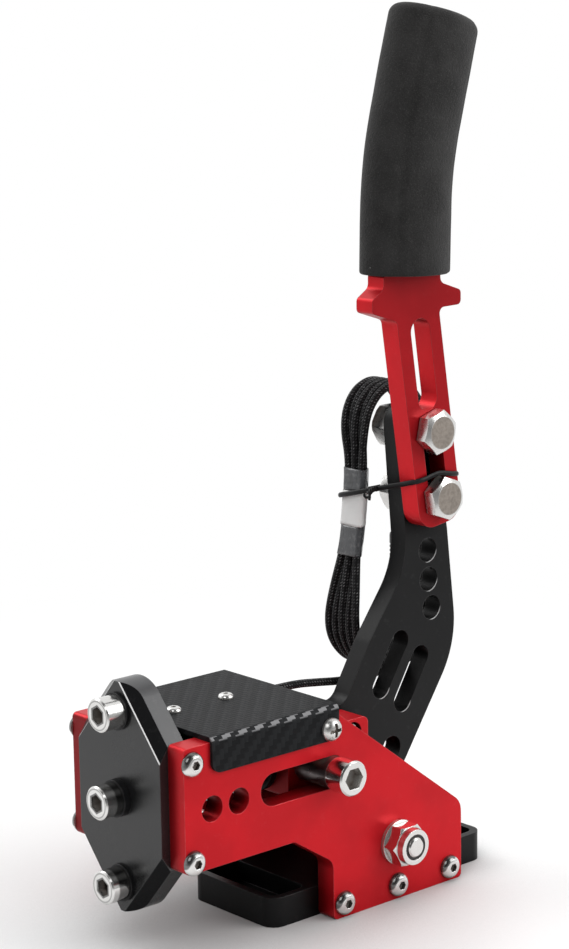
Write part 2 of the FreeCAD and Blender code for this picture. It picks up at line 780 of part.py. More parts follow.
# Foam grip: an oval section along the centreline, closed at the top, with a pocket for the tang
def foam_grip():
    start, bend_start, bend_middle, bend_end, end = grip_line()
    centre_y = -(handle_near + lever_side) / 2
    low = math.radians(grip_lean_low_deg)
    ahead = V(math.cos(low), 0, -math.sin(low))
    flat = grip_half_depth - grip_nose_r
    side_r = (grip_half_width ** 2 + flat ** 2 - grip_nose_r ** 2) / (2 * (grip_half_width - grip_nose_r))
    drop = side_r - grip_half_width
    toward = math.atan2(flat, drop)
    joint_u = side_r * math.sin(toward)
    joint_v = side_r * math.cos(toward) - drop

    def at(u, v):
        return start + ahead * u + V(0, v, 0)

    edges = [
        Part.Arc(at(-joint_u, joint_v), at(0, grip_half_width), at(joint_u, joint_v)).toShape(),
        Part.Arc(at(joint_u, joint_v), at(grip_half_depth, 0), at(joint_u, -joint_v)).toShape(),
        Part.Arc(at(joint_u, -joint_v), at(0, -grip_half_width), at(-joint_u, -joint_v)).toShape(),
        Part.Arc(at(-joint_u, -joint_v), at(-grip_half_depth, 0), at(-joint_u, joint_v)).toShape(),
    ]
    path = Part.Wire([
        Part.LineSegment(start, bend_start).toShape(),
        Part.Arc(bend_start, bend_middle, bend_end).toShape(),
        Part.LineSegment(bend_end, end).toShape(),
    ])
    shell = Part.BRepOffsetAPI.MakePipeShell(path)
    shell.add(Part.Wire(edges))
    shell.build()
    shell.makeSolid()
    grip = shell.shape()
    high = math.radians(grip_lean_high_deg)
    tip = V(math.sin(high), 0, math.cos(high))
    end_edges = [e for e in grip.Edges if all(abs((v.Point - end).dot(tip)) < 1e-4 for v in e.Vertexes)]
    grip = grip.makeFillet(grip_end_round, end_edges)
    grip.translate(V(0, centre_y, 0))
    half = handle_thickness / 2 + tang_gap
    pocket = tang(tang_half_width + tang_gap, grip_end_cap - tang_gap, centre_y - half, centre_y + half)
    neck = box(grip_start_x - neck_half_width - tang_gap, grip_start_x + neck_half_width + tang_gap,
               centre_y - half, centre_y + half, grip_start_z - 5, neck_top_z + tang_gap)
    return grip.cut(pocket).cut(neck)


# Crosshead: a block that the cross bolt carries, forked round the lever, with upright pin slots
def crosshead():
    block = prism([
        (crosshead_front_x, crosshead_low_z, 1.5), (crosshead_rear_x, crosshead_low_z, 3.0),
        (crosshead_rear_x, crosshead_top_z, 3.0), (crosshead_front_x, crosshead_top_z, 1.5),
    ], along_y, -crosshead_half_width, crosshead_half_width)
    block = block.cut(box(fork_root_x, crosshead_rear_x + 1, -fork_gap / 2, fork_gap / 2,
                          crosshead_low_z - 1, crosshead_top_z + 1))
    block = block.cut(rod(m8_r + thread_gap, (cross_x, -crosshead_half_width - 1, slot_z),
                          (cross_x, crosshead_half_width + 1, slot_z)))
    return block.cut(slot_xz(drive_pin_x, pin_low_z - pin_play, drive_pin_x, drive_pin_z + pin_play,
                             drive_pin_r + pin_play, -crosshead_half_width - 1, crosshead_half_width + 1))


# Return spring: closed end coils and an even pitch between, on the guide rod
def return_spring():
    start_x = front_plate_back_x + seat_h + spring_seat_gap + spring_wire / 2
    end_x = crosshead_front_x - seat_h - spring_seat_gap - spring_wire / 2
    free_turns = spring_coils - 2
    free_pitch = (end_x - start_x - 2 * spring_end_pitch) / free_turns
    steps = 2 * spring_coils

    def travel(turns):
        if turns <= 1:
            return spring_end_pitch * turns
        if turns <= 1 + free_turns:
            return spring_end_pitch + free_pitch * (turns - 1)
        return spring_end_pitch + free_pitch * free_turns + spring_end_pitch * (turns - 1 - free_turns)

    knots = []
    for i in range(steps + 1):
        turns = i / 2
        angle = 2 * math.pi * turns
        before, after = max(0, turns - 0.25), min(spring_coils, turns + 0.25)
        rate = (travel(after) - travel(before)) / ((after - before) * 2 * math.pi)
        point = V(start_x + travel(turns), spring_mean_r * math.cos(angle),
                  slot_z + spring_mean_r * math.sin(angle))
        tangent = V(rate, -spring_mean_r * math.sin(angle), spring_mean_r * math.cos(angle)).normalize()
        knots.append((point, tangent))
    return wound_tube("return_spring", knots, spring_wire / 2)


# The cord leaves the strain relief, passes behind the lever and meets the hank's lowest point
def stretch_points():
    exit_x = board_rear_x + relief_length
    return [
        (exit_x, cord_y, cord_z),
        (-14.0, cord_y, cord_z),
        (-2.0, 10.6, 80.7),
        (10.0, 8.4, 79.3),
        (23.0, 6.9, 79.1),
        (37.0, hank_y, hank_bottom_z),
    ]


def left_strand(loop):
    """The left side of one loop, top to bottom; the flat row of strands closes up at the bands."""
    place = loop - (hank_loops - 1) / 2
    side = 0.5 if loop % 2 else -0.5
    knots = []
    for x, z, slope, closing in hank_left:
        shift_x = side * bundle_zigzag * math.sqrt(closing)
        shift_y = place * (hank_pitch * (1 - closing) + bundle_pitch * closing)
        knots.append((V(x + shift_x, bundle_y() + shift_y, z), V(-slope, 0, -1).normalize()))
    return knots


def bundle_y():
    return hank_y + (hank_loops + 1) / 2 * hank_pitch


def strand_x(z):
    """Where the middle of the bundle runs at a height."""
    knots = [(V(x, 0, height), V(-slope, 0, -1).normalize()) for x, height, slope, closing in hank_left]
    points = []
    for (p0, t0), (p1, t1) in zip(knots, knots[1:]):
        for edge in biarc(p0, t0, p1, t1):
            points += edge.discretize(Number=60)
    return min(points, key=lambda p: abs(p.z - z)).x


def hank_knots():
    """Loops in the XZ plane behind the lever, each a pitch further out; the last drops to the plug."""
    points = stretch_points()
    first = (V(*points[-1]) - V(*points[-2])).normalize()
    left, right, up = V(-1, 0, 0), V(1, 0, 0), V(0, 0, 1)
    top_x = (hank_left[0][0] + hank_right_x) / 2
    bottom_x = points[-1][0]
    knots = [(V(*points[-1]), first)]
    for loop in range(hank_loops):
        y0 = hank_y + loop * hank_pitch
        y1 = y0 + hank_pitch
        knots.append((V(hank_right_x, y0, hank_right_low_z), up))
        knots.append((V(hank_right_x, y1, hank_right_top_z), up))
        knots.append((V(top_x, y1, hank_top_z), left))
        knots += left_strand(loop)
        if loop < hank_loops - 1:
            knots.append((V(bottom_x, y1, hank_bottom_z), right))
    last = hank_y + hank_loops * hank_pitch
    knots.append((V(bottom_x, last + plug_step_y / 2, hank_bottom_z), V(0.97, 0.243, 0).normalize()))
    knots.append((V(plug_x, last + plug_step_y, hank_right_low_z), up))
    return knots


def bundle_half(grow):
    """Half sizes of the row of strands along X and Y, with a margin on all sides."""
    return (bundle_zigzag / 2 + cord_r + grow, (hank_loops - 1) / 2 * bundle_pitch + cord_r + grow)


def band(z0, z1):
    """A flat sleeve on the bundled left strands between two heights."""
    sleeves = []
    for grow in (tape_gap, tape_gap + tape_wall):
        half_x, half_y = bundle_half(grow)
        corner = cord_r + grow
        outline = [(-half_x, -half_y, corner), (half_x, -half_y, corner),
                   (half_x, half_y, corner), (-half_x, half_y, corner)]
        sleeve = Part.Face(rounded_wire(outline, along_z)).extrude(V(strand_x(z1) - strand_x(z0), 0, z1 - z0))
        sleeve.translate(V(strand_x(z0), bundle_y(), z0))
        sleeves.append(sleeve)
    inner, outer = sleeves
    return outer.cut(inner)


def offset_outline(corners, grow):
    """Moves each side of a convex outline, listed anticlockwise, outwards by grow."""
    count = len(corners)
    moved = []
    for i in range(count):
        a, b, c = corners[i - 1], corners[i], corners[(i + 1) % count]
        d0 = V(b[0] - a[0], b[1] - a[1], 0).normalize()
        d1 = V(c[0] - b[0], c[1] - b[1], 0).normalize()
        n0, n1 = V(d0.y, -d0.x, 0), V(d1.y, -d1.x, 0)
        shift = (n0 + n1) * (grow / (1 + n0.dot(n1)))
        moved.append((b[0] + shift.x, b[1] + shift.y, b[2] + grow))
    return moved


# Tie: a thin band drawn round the handle, the lever and the hank
def cord_tie():
    leg_x = handle_bolt_x + (tie_z - handle_bolt_z) * math.tan(math.radians(-handle_lean_deg))
    half = handle_half_width / math.cos(math.radians(handle_lean_deg)) + 0.5
    tilt = math.radians(tie_tilt_deg)
    near_y = -handle_near
    half_x, half_y = bundle_half(tape_gap + tape_wall)
    bundle_corner = cord_r + tape_gap + tape_wall
    far_y = near_y + (hank_y + hank_loops * hank_pitch + cord_r - near_y) / math.cos(tilt)
    bundle_far_y = near_y + (bundle_y() + half_y - near_y) / math.cos(tilt)
    bundle_near_y = near_y + (bundle_y() - half_y - near_y) / math.cos(tilt)
    left_x = strand_x(tie_z - (bundle_far_y - near_y) * math.sin(tilt)) - half_x
    hugged = [
        (leg_x - half, near_y, tie_corner_r * 0.3),
        (leg_x + half, near_y, tie_corner_r * 0.3),
        (hank_right_x + cord_r, hank_y, tie_corner_r),
        (hank_right_x + cord_r, far_y, tie_corner_r),
        (left_x, bundle_far_y, bundle_corner),
        (left_x, bundle_near_y, bundle_corner),
    ]
    inner = offset_outline(hugged, tie_gap)
    outer = offset_outline(hugged, tie_gap + tie_size)
    low, high = tie_z - tie_size / 2, tie_z + tie_size / 2
    loop = prism(outer, along_z, low, high).cut(prism(inner, along_z, low - 1, high + 1))
    loop.rotate(V(0, near_y, tie_z), V(1, 0, 0), -tie_tilt_deg)
    return loop


def usb_plug():
    centre_y = hank_y + hank_loops * hank_pitch + plug_step_y
    width, depth, length = plug_body
    z0 = hank_right_low_z
    half_w, half_d = width / 2, depth / 2
    body = prism([
        (plug_x - half_w, centre_y - half_d, 1.8), (plug_x + half_w, centre_y - half_d, 1.8),
        (plug_x + half_w, centre_y + half_d, 1.8), (plug_x - half_w, centre_y + half_d, 1.8),
    ], along_z, z0, z0 + length)
    w, d, tip = plug_shell
    top = z0 + length
    shell = box(plug_x - w / 2, plug_x + w / 2, centre_y - d / 2, centre_y + d / 2, top, top + tip)
    wall = 0.3
    hollow = box(plug_x - w / 2 + wall, plug_x + w / 2 - wall,
                 centre_y - d / 2 + wall, centre_y + d / 2 - wall, top + 1, top + tip + 1)
    tongue = box(plug_x - w / 2 + wall, plug_x + w / 2 - wall,
                 centre_y - d / 2 + wall, centre_y - d / 2 + wall + 1.8, top + 1, top + tip - 1)
    return body, shell.cut(hollow).fuse(tongue)


def both_sides(make):
    return [make(-1), make(1)]


os.makedirs("parts", exist_ok=True)

# Frame and housing
save("side_plate_near", side_plate(-1))
save("side_plate_far", side_plate(1))
save("front_plate", front_plate())
save("base_block", base_block())
save("cover", cover())

# Screws of the frame
side_screw = button_screw(m5_r, m5_head_r, m5_head_h, m5_socket, side_screw_length)
save("front_side_screws", [aim(side_screw, (0, s, 0), (side_screw_front_x, s * plate_out, z))
                           for s in (-1, 1) for z in side_screw_front_z])
save("base_side_screws", [aim(side_screw, (0, s, 0), (x, s * plate_out, base_height / 2))
                          for s in (-1, 1) for x in side_screw_base_x])
pan_screw = cross_recess_screw(m5_r, pan_head_r, pan_head_h, pan_length)
save("cover_side_screws", both_sides(
    lambda s: aim(pan_screw, (0, s, 0), (cover_side_screw_x, s * cover_out, cover_side_screw_z))))
top_screw = button_screw(m3_r, m3_head_r, m3_head_h, 1.8, cover_thickness + standoff_h / 2)
save("cover_top_screws", [aim(top_screw, (0, 0, 1), (x, cover_top_screw_y, cover_top_z))
                          for x in cover_top_screw_x])
mount_heights = [z for z in front_screw_heights() if z != slot_z]
front_screw = socket_screw(m8_r, m8_head_r, m8_head_h, m8_socket, front_plate_thickness + front_washer_h)
save("front_screws", [aim(front_screw, (-1, 0, 0), (front_plate_x - front_washer_h, 0, z))
                      for z in mount_heights])
save("front_screw_washers", [ring(front_washer_r, m8_r + thread_gap, (front_plate_x - front_washer_h, 0, z),
                                  (front_plate_x, 0, z)) for z in mount_heights])
preload = socket_screw(m8_r, m8_head_r, m8_head_h, m8_socket,
                       front_plate_thickness + preload_collar_h + guide_rod_reach)
save("preload_screw", aim(preload, (-1, 0, 0), (front_plate_x - preload_collar_h, 0, slot_z)))
save("preload_collar", ring(front_washer_r, m8_r + thread_gap, (front_plate_x - preload_collar_h, 0, slot_z),
                            (front_plate_x, 0, slot_z)))

# Pivot
washer_out = plate_out + m8_washer_h
pivot_length = 2 * plate_out + 2 * m8_washer_h + pivot_nut_h + 0.7
pivot_screw = socket_screw(m8_r, m8_head_r, m8_head_h, m8_socket, pivot_length)
save("pivot_bolt", aim(pivot_screw, (0, 1, 0), (0, washer_out, pivot_z)))
save("pivot_washers", both_sides(
    lambda s: ring(m8_washer_r, m8_r + thread_gap, (0, s * plate_out, pivot_z), (0, s * washer_out, pivot_z))))
nylon_r = 5.2
nylon_h = 1.7
nut = lock_nut(pivot_nut_af, pivot_nut_h, m8_r + thread_gap, nylon_r, nylon_h)
save("pivot_nut", aim(nut, (0, -1, 0), (0, -washer_out, pivot_z)))
insert = ring(nylon_r - 0.02, m8_r + thread_gap / 2, (0, 0, pivot_nut_h - nylon_h), (0, 0, pivot_nut_h - 0.3))
save("pivot_nut_insert", aim(insert, (0, -1, 0), (0, -washer_out, pivot_z)))
thrust_in = lever_side + side_gap
thrust_out = thrust_in + thrust_washer_h
save("thrust_washers", both_sides(
    lambda s: ring(spacer_r + 1, m8_r + thread_gap, (0, s * thrust_in, pivot_z), (0, s * thrust_out, pivot_z))))
save("pivot_spacers", both_sides(
    lambda s: ring(spacer_r, m8_r + thread_gap, (0, s * thrust_out, pivot_z), (0, s * plate_in, pivot_z))))

# Lever
save("lever_plate", lever_plate())
save("pivot_bush", ring(pivot_bush_r(), m8_r + bush_gap, (0, -lever_side, pivot_z), (0, lever_side, pivot_z)))
pin_half = crosshead_half_width - 1.5
save("drive_pin", rod(drive_pin_r, (drive_pin_x, -pin_half, drive_pin_z),
                      (drive_pin_x, pin_half, drive_pin_z)))
save("handle_plate", handle_plate())
save("foam_grip", foam_grip())
handle_screw_length = handle_thickness + lever_thickness + m10_nut_h + 2.5
handle_screw = hex_screw(m10_r, m10_af, m10_face_r, m10_head_h, handle_screw_length)
handle_bolts = []
for (x, z), turn in zip(handle_bolt_places(), handle_bolt_turn_deg):
    bolt = aim(handle_screw, (0, -1, 0), (x, -handle_near, z))
    bolt.rotate(V(x, 0, z), V(0, -1, 0), turn)
    handle_bolts.append(bolt)
save("handle_bolts", handle_bolts)
handle_nut = plain_nut(m10_af, m10_nut_h, m10_r + thread_gap)
save("handle_nuts", [aim(handle_nut, (0, 1, 0), (x, lever_side, z)) for x, z in handle_bolt_places()])

# Slider
save("crosshead", crosshead())
sleeve_out = plate_out + sleeve_proud
cross_out = sleeve_out + m8_washer_h
cross_screw = socket_screw(m8_r, cross_head_r, m8_head_h, cross_socket, 2 * cross_out + m8_nut_h + 0.7)
save("cross_bolt", aim(cross_screw, (0, -1, 0), (cross_x, -cross_out, slot_z)))
save("cross_sleeves", both_sides(
    lambda s: ring(sleeve_r, m8_r + thread_gap, (cross_x, s * crosshead_half_width, slot_z),
                   (cross_x, s * sleeve_out, slot_z))))
save("cross_washers", both_sides(
    lambda s: ring(sleeve_r, m8_r + thread_gap, (cross_x, s * sleeve_out, slot_z),
                   (cross_x, s * cross_out, slot_z))))
cross_nut = plain_nut(m8_nut_af, m8_nut_h, m8_r + thread_gap)
save("cross_nut", aim(cross_nut, (0, 1, 0), (cross_x, cross_out, slot_z)))
save("spring_seat_front", ring(seat_r, m8_r + thread_gap, (front_plate_back_x, 0, slot_z),
                               (front_plate_back_x + seat_h, 0, slot_z)))
save("spring_seat_rear", ring(seat_r, m8_r + 1.0, (crosshead_front_x - seat_h, 0, slot_z),
                              (crosshead_front_x, 0, slot_z)))
save("return_spring", return_spring())

# Sensor parts
board_y = cover_top_screw_y
board_low_z = board_top_z - board_thickness
board = box(board_rear_x - board_length, board_rear_x, board_y - board_width / 2, board_y + board_width / 2,
            board_low_z, board_top_z)
for x in cover_top_screw_x:
    board = board.cut(rod(m3_r + thread_gap, (x, board_y, board_low_z - 1), (x, board_y, board_top_z + 1)))
save("sensor_board", board)
save("board_standoffs", [ring(standoff_r, m3_r + thread_gap, (x, board_y, board_top_z), (x, board_y, plate_top_z))
                         for x in cover_top_screw_x])
save("hall_chip", box(chip_x - chip_size[0] / 2, chip_x + chip_size[0] / 2, -chip_size[1] / 2,
                      chip_size[1] / 2, board_low_z - chip_size[2], board_low_z))
holder = box(crosshead_front_x, magnet_x + magnet_r + 1.5, -magnet_r - 1.5, magnet_r + 1.5,
             crosshead_top_z, crosshead_top_z + 2.4)
magnet_low = crosshead_top_z + 0.6
magnet_top = crosshead_top_z + 2.4
holder = holder.cut(rod(magnet_r + thread_gap, (magnet_x, 0, magnet_low), (magnet_x, 0, magnet_top + 1)))
save("magnet_holder", holder)
save("magnet", rod(magnet_r, (magnet_x, 0, magnet_low), (magnet_x, 0, magnet_top)))
save("cable_connector", box(board_rear_x - connector_size[0], board_rear_x,
                            connector_y - connector_size[1] / 2, connector_y + connector_size[1] / 2,
                            board_top_z, board_top_z + connector_size[2]))
save("strain_relief", cone(relief_big_r, relief_small_r, (board_rear_x, cord_y, cord_z),
                           (board_rear_x + relief_length, cord_y, cord_z)))

# Cord
save("cord_stretch", cord_tube("cord_stretch", stretch_points(), cord_r))
save("cord_hank", wound_tube("cord_hank", hank_knots(), cord_r))
plug_solid, shell_solid = usb_plug()
save("usb_plug_body", plug_solid)
save("usb_plug_shell", shell_solid)
save("hank_tape", [band(z0, z1) for z0, z1 in tape_bands])
label_low = max(tape_bands[1])
label_high = min(tape_bands[0])
save("hank_label", band(label_low + 0.3, label_high - 0.3))
save("cord_tie", cord_tie())
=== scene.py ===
"""Sim racing handbrake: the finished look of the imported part.

Laid out as an add-on: sizes and colours are properties, each group of pieces has an operator, and
one panel lists them. X runs from the front plate to the rear, Y across the side plates, Z up.
"""

import math

import bpy
from bpy.props import FloatProperty, FloatVectorProperty, IntProperty, PointerProperty
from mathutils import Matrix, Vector, noise


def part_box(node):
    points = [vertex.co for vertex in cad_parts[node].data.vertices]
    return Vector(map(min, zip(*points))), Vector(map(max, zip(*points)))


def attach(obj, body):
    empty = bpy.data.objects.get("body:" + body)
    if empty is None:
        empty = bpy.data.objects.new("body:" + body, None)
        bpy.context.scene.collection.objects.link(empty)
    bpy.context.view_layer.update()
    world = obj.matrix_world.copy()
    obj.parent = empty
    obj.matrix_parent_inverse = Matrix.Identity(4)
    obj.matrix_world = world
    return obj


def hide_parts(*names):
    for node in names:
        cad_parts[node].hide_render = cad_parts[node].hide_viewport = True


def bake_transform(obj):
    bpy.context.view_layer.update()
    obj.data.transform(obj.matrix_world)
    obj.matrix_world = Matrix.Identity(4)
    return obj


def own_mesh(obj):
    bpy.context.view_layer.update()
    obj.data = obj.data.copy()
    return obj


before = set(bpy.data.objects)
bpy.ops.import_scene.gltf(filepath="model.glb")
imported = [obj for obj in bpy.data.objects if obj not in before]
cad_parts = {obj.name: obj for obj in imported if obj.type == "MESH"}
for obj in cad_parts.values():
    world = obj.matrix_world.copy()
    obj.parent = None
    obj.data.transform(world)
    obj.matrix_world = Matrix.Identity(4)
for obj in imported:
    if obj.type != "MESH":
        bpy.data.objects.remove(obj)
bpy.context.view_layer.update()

bl_info = {
    "name": "Sim Racing Handbrake",
    "version": (1, 0, 0),
    "blender": (4, 5, 0),
    "location": "View3D > Sidebar > Handbrake",
    "description": "Cord, grip, spring, trim and finishes on the handbrake's frame",
    "category": "Add Mesh",
}

MM = 0.001


# Properties


def number(name, description, default, **options):
    return FloatProperty(name=name, description=description, default=default, **options)


def length(name, description, default):
    return number(name, description, default, unit="LENGTH", precision=5, min=0)


def vector(name, description, default, **options):
    options["size"] = len(default)
    return FloatVectorProperty(name=name, description=description, default=default, **options)


def direction(name, description, default):
    return vector(name, description, default, subtype="DIRECTION")


def colour(name, description, default):
    return vector(name, description, default, subtype="COLOR", min=0, max=1)


class HandbrakeStage(bpy.types.PropertyGroup):
    """The camera, the floor and the lights."""

    focal_length: number("Focal length", "Lens of the photographer's camera", 93.29, unit="CAMERA")
    sensor_width: number("Sensor width", "Width of the camera's sensor", 36.0, unit="CAMERA")
    camera_place: vector("Camera place", "Where the camera stands", (-0.6466, -0.7013, 0.3562),
                         subtype="TRANSLATION")
    camera_turn: vector("Camera turn", "How the camera is turned",
                        tuple(math.radians(a) for a in (78.719, 0.864, -41.669)), subtype="EULER")
    camera_shift: vector("Camera shift", "Lens shift in frame widths", (-0.002, 0.005))
    floor_colour: colour("Floor colour", "Colour of the floor", (0.93, 0.93, 0.93))
    floor_size: length("Floor size", "Side of the square floor", 6.0)
    floor_bounce: number("Floor bounce", "How much light the floor throws back up", 0.38, min=0, max=1)
    room_light: number("Room light", "Strength of the even light from all round", 0.62, min=0)
    room_in_metal: number("Room in metal", "How bright metal shows the room's near side", 0.35, min=0, max=1)
    lit_side: direction("Lit side", "The way to the brighter side of the room", (0.55, -0.38, 0.74))
    backdrop_side: direction("Backdrop side", "The way to the pale backdrop", (0.2, 0.72, 0.66))
    dark_side: direction("Dark side", "The way to the dark ceiling that metal shows", (-0.5, -0.45, 0.74))
    lamp_light: number("Lamp light", "Strength of the lamps against the room", 1.0, min=0)


class HandbrakeCord(bpy.types.PropertyGroup):
    """The braided cord, its hank and what holds it."""

    diameter: length("Cord diameter", "Outside diameter of the braided cord", 0.0033)
    strand: length("Braid step", "Length of one crossing of the braid along the cord", 0.0013)
    strands: IntProperty(name="Braid strands", description="Strands of the braid each way round",
                         default=8, min=4, max=24)
    tape_thickness: length("Tape thickness", "Thickness of the wound tape", 0.0003)
    tie_width: length("Tie width", "Width of the tie's flat", 0.0021)
    tie_thickness: length("Tie thickness", "Thickness of the tie's core", 0.0012)
    black: colour("Braid black", "Colour of the braid", (0.006, 0.006, 0.0065))
    # The fleck colour is a painted highlight on the braid's raised crossings.
    fleck: colour("Braid fleck", "Colour of the lit threads", (0.2, 0.2, 0.205))
    tape: colour("Tape grey", "Colour of the tape", (0.055, 0.057, 0.062))
    label: colour("Label white", "Colour of the bare label", (0.98, 0.98, 0.97))


class HandbrakeGrip(bpy.types.PropertyGroup):
    """The foam grip."""

    half_depth: length("Half depth", "Half the grip's oval from front to back", 0.0205)
    half_width: length("Half width", "Half the grip's oval across", 0.0156)
    nose: length("Nose radius", "Radius of the oval's narrow ends", 0.012)
    top_round: length("Top rounding", "Rounding of the closed end", 0.0042)
    foot_round: length("Foot rounding", "Rounding of the lower end", 0.0011)
    swell: length("Swell", "How far the foam rises and sinks along its length", 0.00022)
    foam: colour("Foam black", "Colour of the foam", (0.0145, 0.0138, 0.0135))
    fluff: colour("Foam dust", "Colour of the lit pores and dust", (0.11, 0.105, 0.1))


class HandbrakeMetal(bpy.types.PropertyGroup):
    """Colours and grain of the metal and plastic parts."""

    red: colour("Anodised red", "Dye of the anodised plates", (0.6, 0.009, 0.016))
    black: colour("Anodised black", "Dye of the lever and base", (0.007, 0.007, 0.0074))
    front: colour("Front grey", "Colour of the front plate", (0.013, 0.0132, 0.014))
    steel: colour("Steel", "Colour of bright steel", (0.74, 0.735, 0.72))
    zinc: colour("Zinc", "Colour of plated heads", (0.66, 0.655, 0.64))
    bronze: colour("Bronze", "Colour of the sintered bush", (0.52, 0.35, 0.17))
    plastic: colour("Black plastic", "Colour of the moulded parts", (0.018, 0.018, 0.019))
    edge: length("Edge break", "How far a worn edge reaches", 0.00045)
    tow: length("Carbon tow", "Width of one tow of the cover's weave", 0.002)


class HandbrakeSettings(bpy.types.PropertyGroup):
    """All the handbrake's settings."""

    stage: PointerProperty(type=HandbrakeStage)
    cord: PointerProperty(type=HandbrakeCord)
    grip: PointerProperty(type=HandbrakeGrip)
    metal: PointerProperty(type=HandbrakeMetal)


# Nodes


class Value:
    """A value in a node tree; arithmetic on it adds the nodes that work it out."""

    def __init__(self, tree, socket):
        self.tree = tree
        self.socket = socket

    def math(self, operation, other=0.0):
        return self.tree.math(operation, self, other)

    def __add__(self, other):
        return self.math("ADD", other)

    def __sub__(self, other):
        return self.math("SUBTRACT", other)

    def __rsub__(self, other):
        return self.tree.math("SUBTRACT", other, self)

    def __mul__(self, other):
        return self.math("MULTIPLY", other)

    def __truediv__(self, other):
        return self.math("DIVIDE", other)

    def __mod__(self, other):
        return self.math("FLOORED_MODULO", other)

    def __abs__(self):
        return self.math("ABSOLUTE")

    def floor(self):
        return self.math("FLOOR")

    def sine(self):
        return self.math("SINE")

    def max(self, other):
        return self.math("MAXIMUM", other)

    def reach(self, other):
        """How far off a point is that stands off by this value and, at right angles, the other."""
        return (self.math("POWER", 2.0) + other.math("POWER", 2.0)).math("SQRT")

    def ramp(self, low, high, to_low=0.0, to_high=1.0):
        """A smooth run from one level to the other while the value goes from low to high."""
        sockets = {"Value": self, "From Min": low, "From Max": high, "To Min": to_low, "To Max": to_high}
        return self.tree.get("MapRange", sockets, interpolation_type="SMOOTHSTEP")


class Tree:
    """Builds the nodes of a material or the world; a socket is given a constant or a Value."""

    def __init__(self, owner):
        owner.use_nodes = True
        self.owner = owner
        self.nodes = owner.node_tree.nodes
        self.links = owner.node_tree.links
        self.nodes.clear()

    def add(self, kind, sockets=None, **options):
        node = self.nodes.new("ShaderNode" + kind)
        node.location = (220 * len(self.nodes), 0)
        for key, value in options.items():
            setattr(node, key, value)
        for key, value in (sockets or {}).items():
            self.put(node.inputs[key], value)
        return node

    def get(self, kind, sockets=None, output=0, **options):
        return Value(self, self.add(kind, sockets, **options).outputs[output])

    def put(self, socket, value):
        if isinstance(value, Value):
            self.links.new(value.socket, socket)
        elif socket.type == "RGBA" and len(value) == 3:
            socket.default_value = (*value, 1)
        else:
            socket.default_value = value

    def math(self, operation, a, b=0.0):
        return self.get("Math", {0: a, 1: b}, operation=operation)

    def mix(self, factor, a, b):
        return self.get("Mix", {0: factor, 6: a, 7: b}, 2, data_type="RGBA")

    def paint(self, ground, *layers):
        """The ground's colour under layers, each a mask and the colour that it lets through."""
        for factor, colour in layers:
            ground = self.mix(factor, ground, colour)
        return ground

    def blend(self, factor, a, b):
        return self.get("Mix", {0: factor, 2: a, 3: b})

    def darken(self, factor, colour, share):
        """The colour, brought to a share of itself where the factor is 1."""
        sockets = {0: factor, 6: colour, 7: (share, share, share)}
        return self.get("Mix", sockets, 2, data_type="RGBA", blend_type="MULTIPLY")

    def dot(self, a, b):
        return self.get("VectorMath", {0: a, 1: b}, "Value", operation="DOT_PRODUCT")

    def split(self, vector):
        return [Value(self, socket) for socket in self.add("SeparateXYZ", {0: vector}).outputs]

    def normal(self):
        return self.get("NewGeometry", output="Normal")

    def facing(self, axis):
        return self.split(self.normal())[axis]

    def place(self):
        return self.get("TexCoord", output="Object")

    def stretched(self, scale):
        return self.get("Mapping", {0: self.place(), "Scale": scale})

    def openness(self, distance, samples=6):
        """1 on open ground and less in a hollow."""
        return self.get("AmbientOcclusion", {"Distance": distance}, "AO", samples=samples)

    def speckle(self, scale, detail=2.0, roughness=0.5, place=None):
        sockets = {"Vector": place or self.place(), "Scale": scale, "Detail": detail, "Roughness": roughness}
        return self.get("TexNoise", sockets, "Fac")

    def bump(self, height, distance, strength, normal=None):
        sockets = {"Height": height, "Distance": distance, "Strength": strength}
        if normal is not None:
            sockets["Normal"] = normal
        return self.get("Bump", sockets)

    def edge(self, reach):
        """The softened normal at edges, and a mask that is 1 on an outer or inner edge."""
        soft = self.get("Bevel", {"Radius": reach}, samples=6)
        return soft, self.dot(soft, self.normal()).ramp(0.995, 0.86)

    def rays(self):
        """Masks of the rays that see the white room, and of glossy and diffuse rays."""
        path = self.add("LightPath").outputs
        camera, glossy, through, diffuse = (
            Value(self, path[name])
            for name in ("Is Camera Ray", "Is Glossy Ray", "Is Transmission Ray", "Is Diffuse Ray"))
        return camera.max(glossy).max(through), glossy, diffuse

    def finish(self, colour, roughness, metallic, normal, **constants):
        sockets = {"Base Color": colour, "Roughness": roughness, "Metallic": metallic, "Normal": normal}
        for key, value in constants.items():
            sockets[key.replace("_", " ")] = value
        return self.surface("Material", self.get("BsdfPrincipled", sockets))

    def surface(self, kind, shader):
        self.add("Output" + kind, {"Surface": shader})
        return self.owner


def material_tree(name):
    return Tree(bpy.data.materials.get(name) or bpy.data.materials.new(name))


def lighter(colour, share):
    return tuple(c + (1 - c) * share for c in colour)


def darker(colour, share):
    return tuple(c * (1 - share) for c in colour)


def scaled(colour, share):
    return tuple(min(1.0, c * share) for c in colour)


# Materials


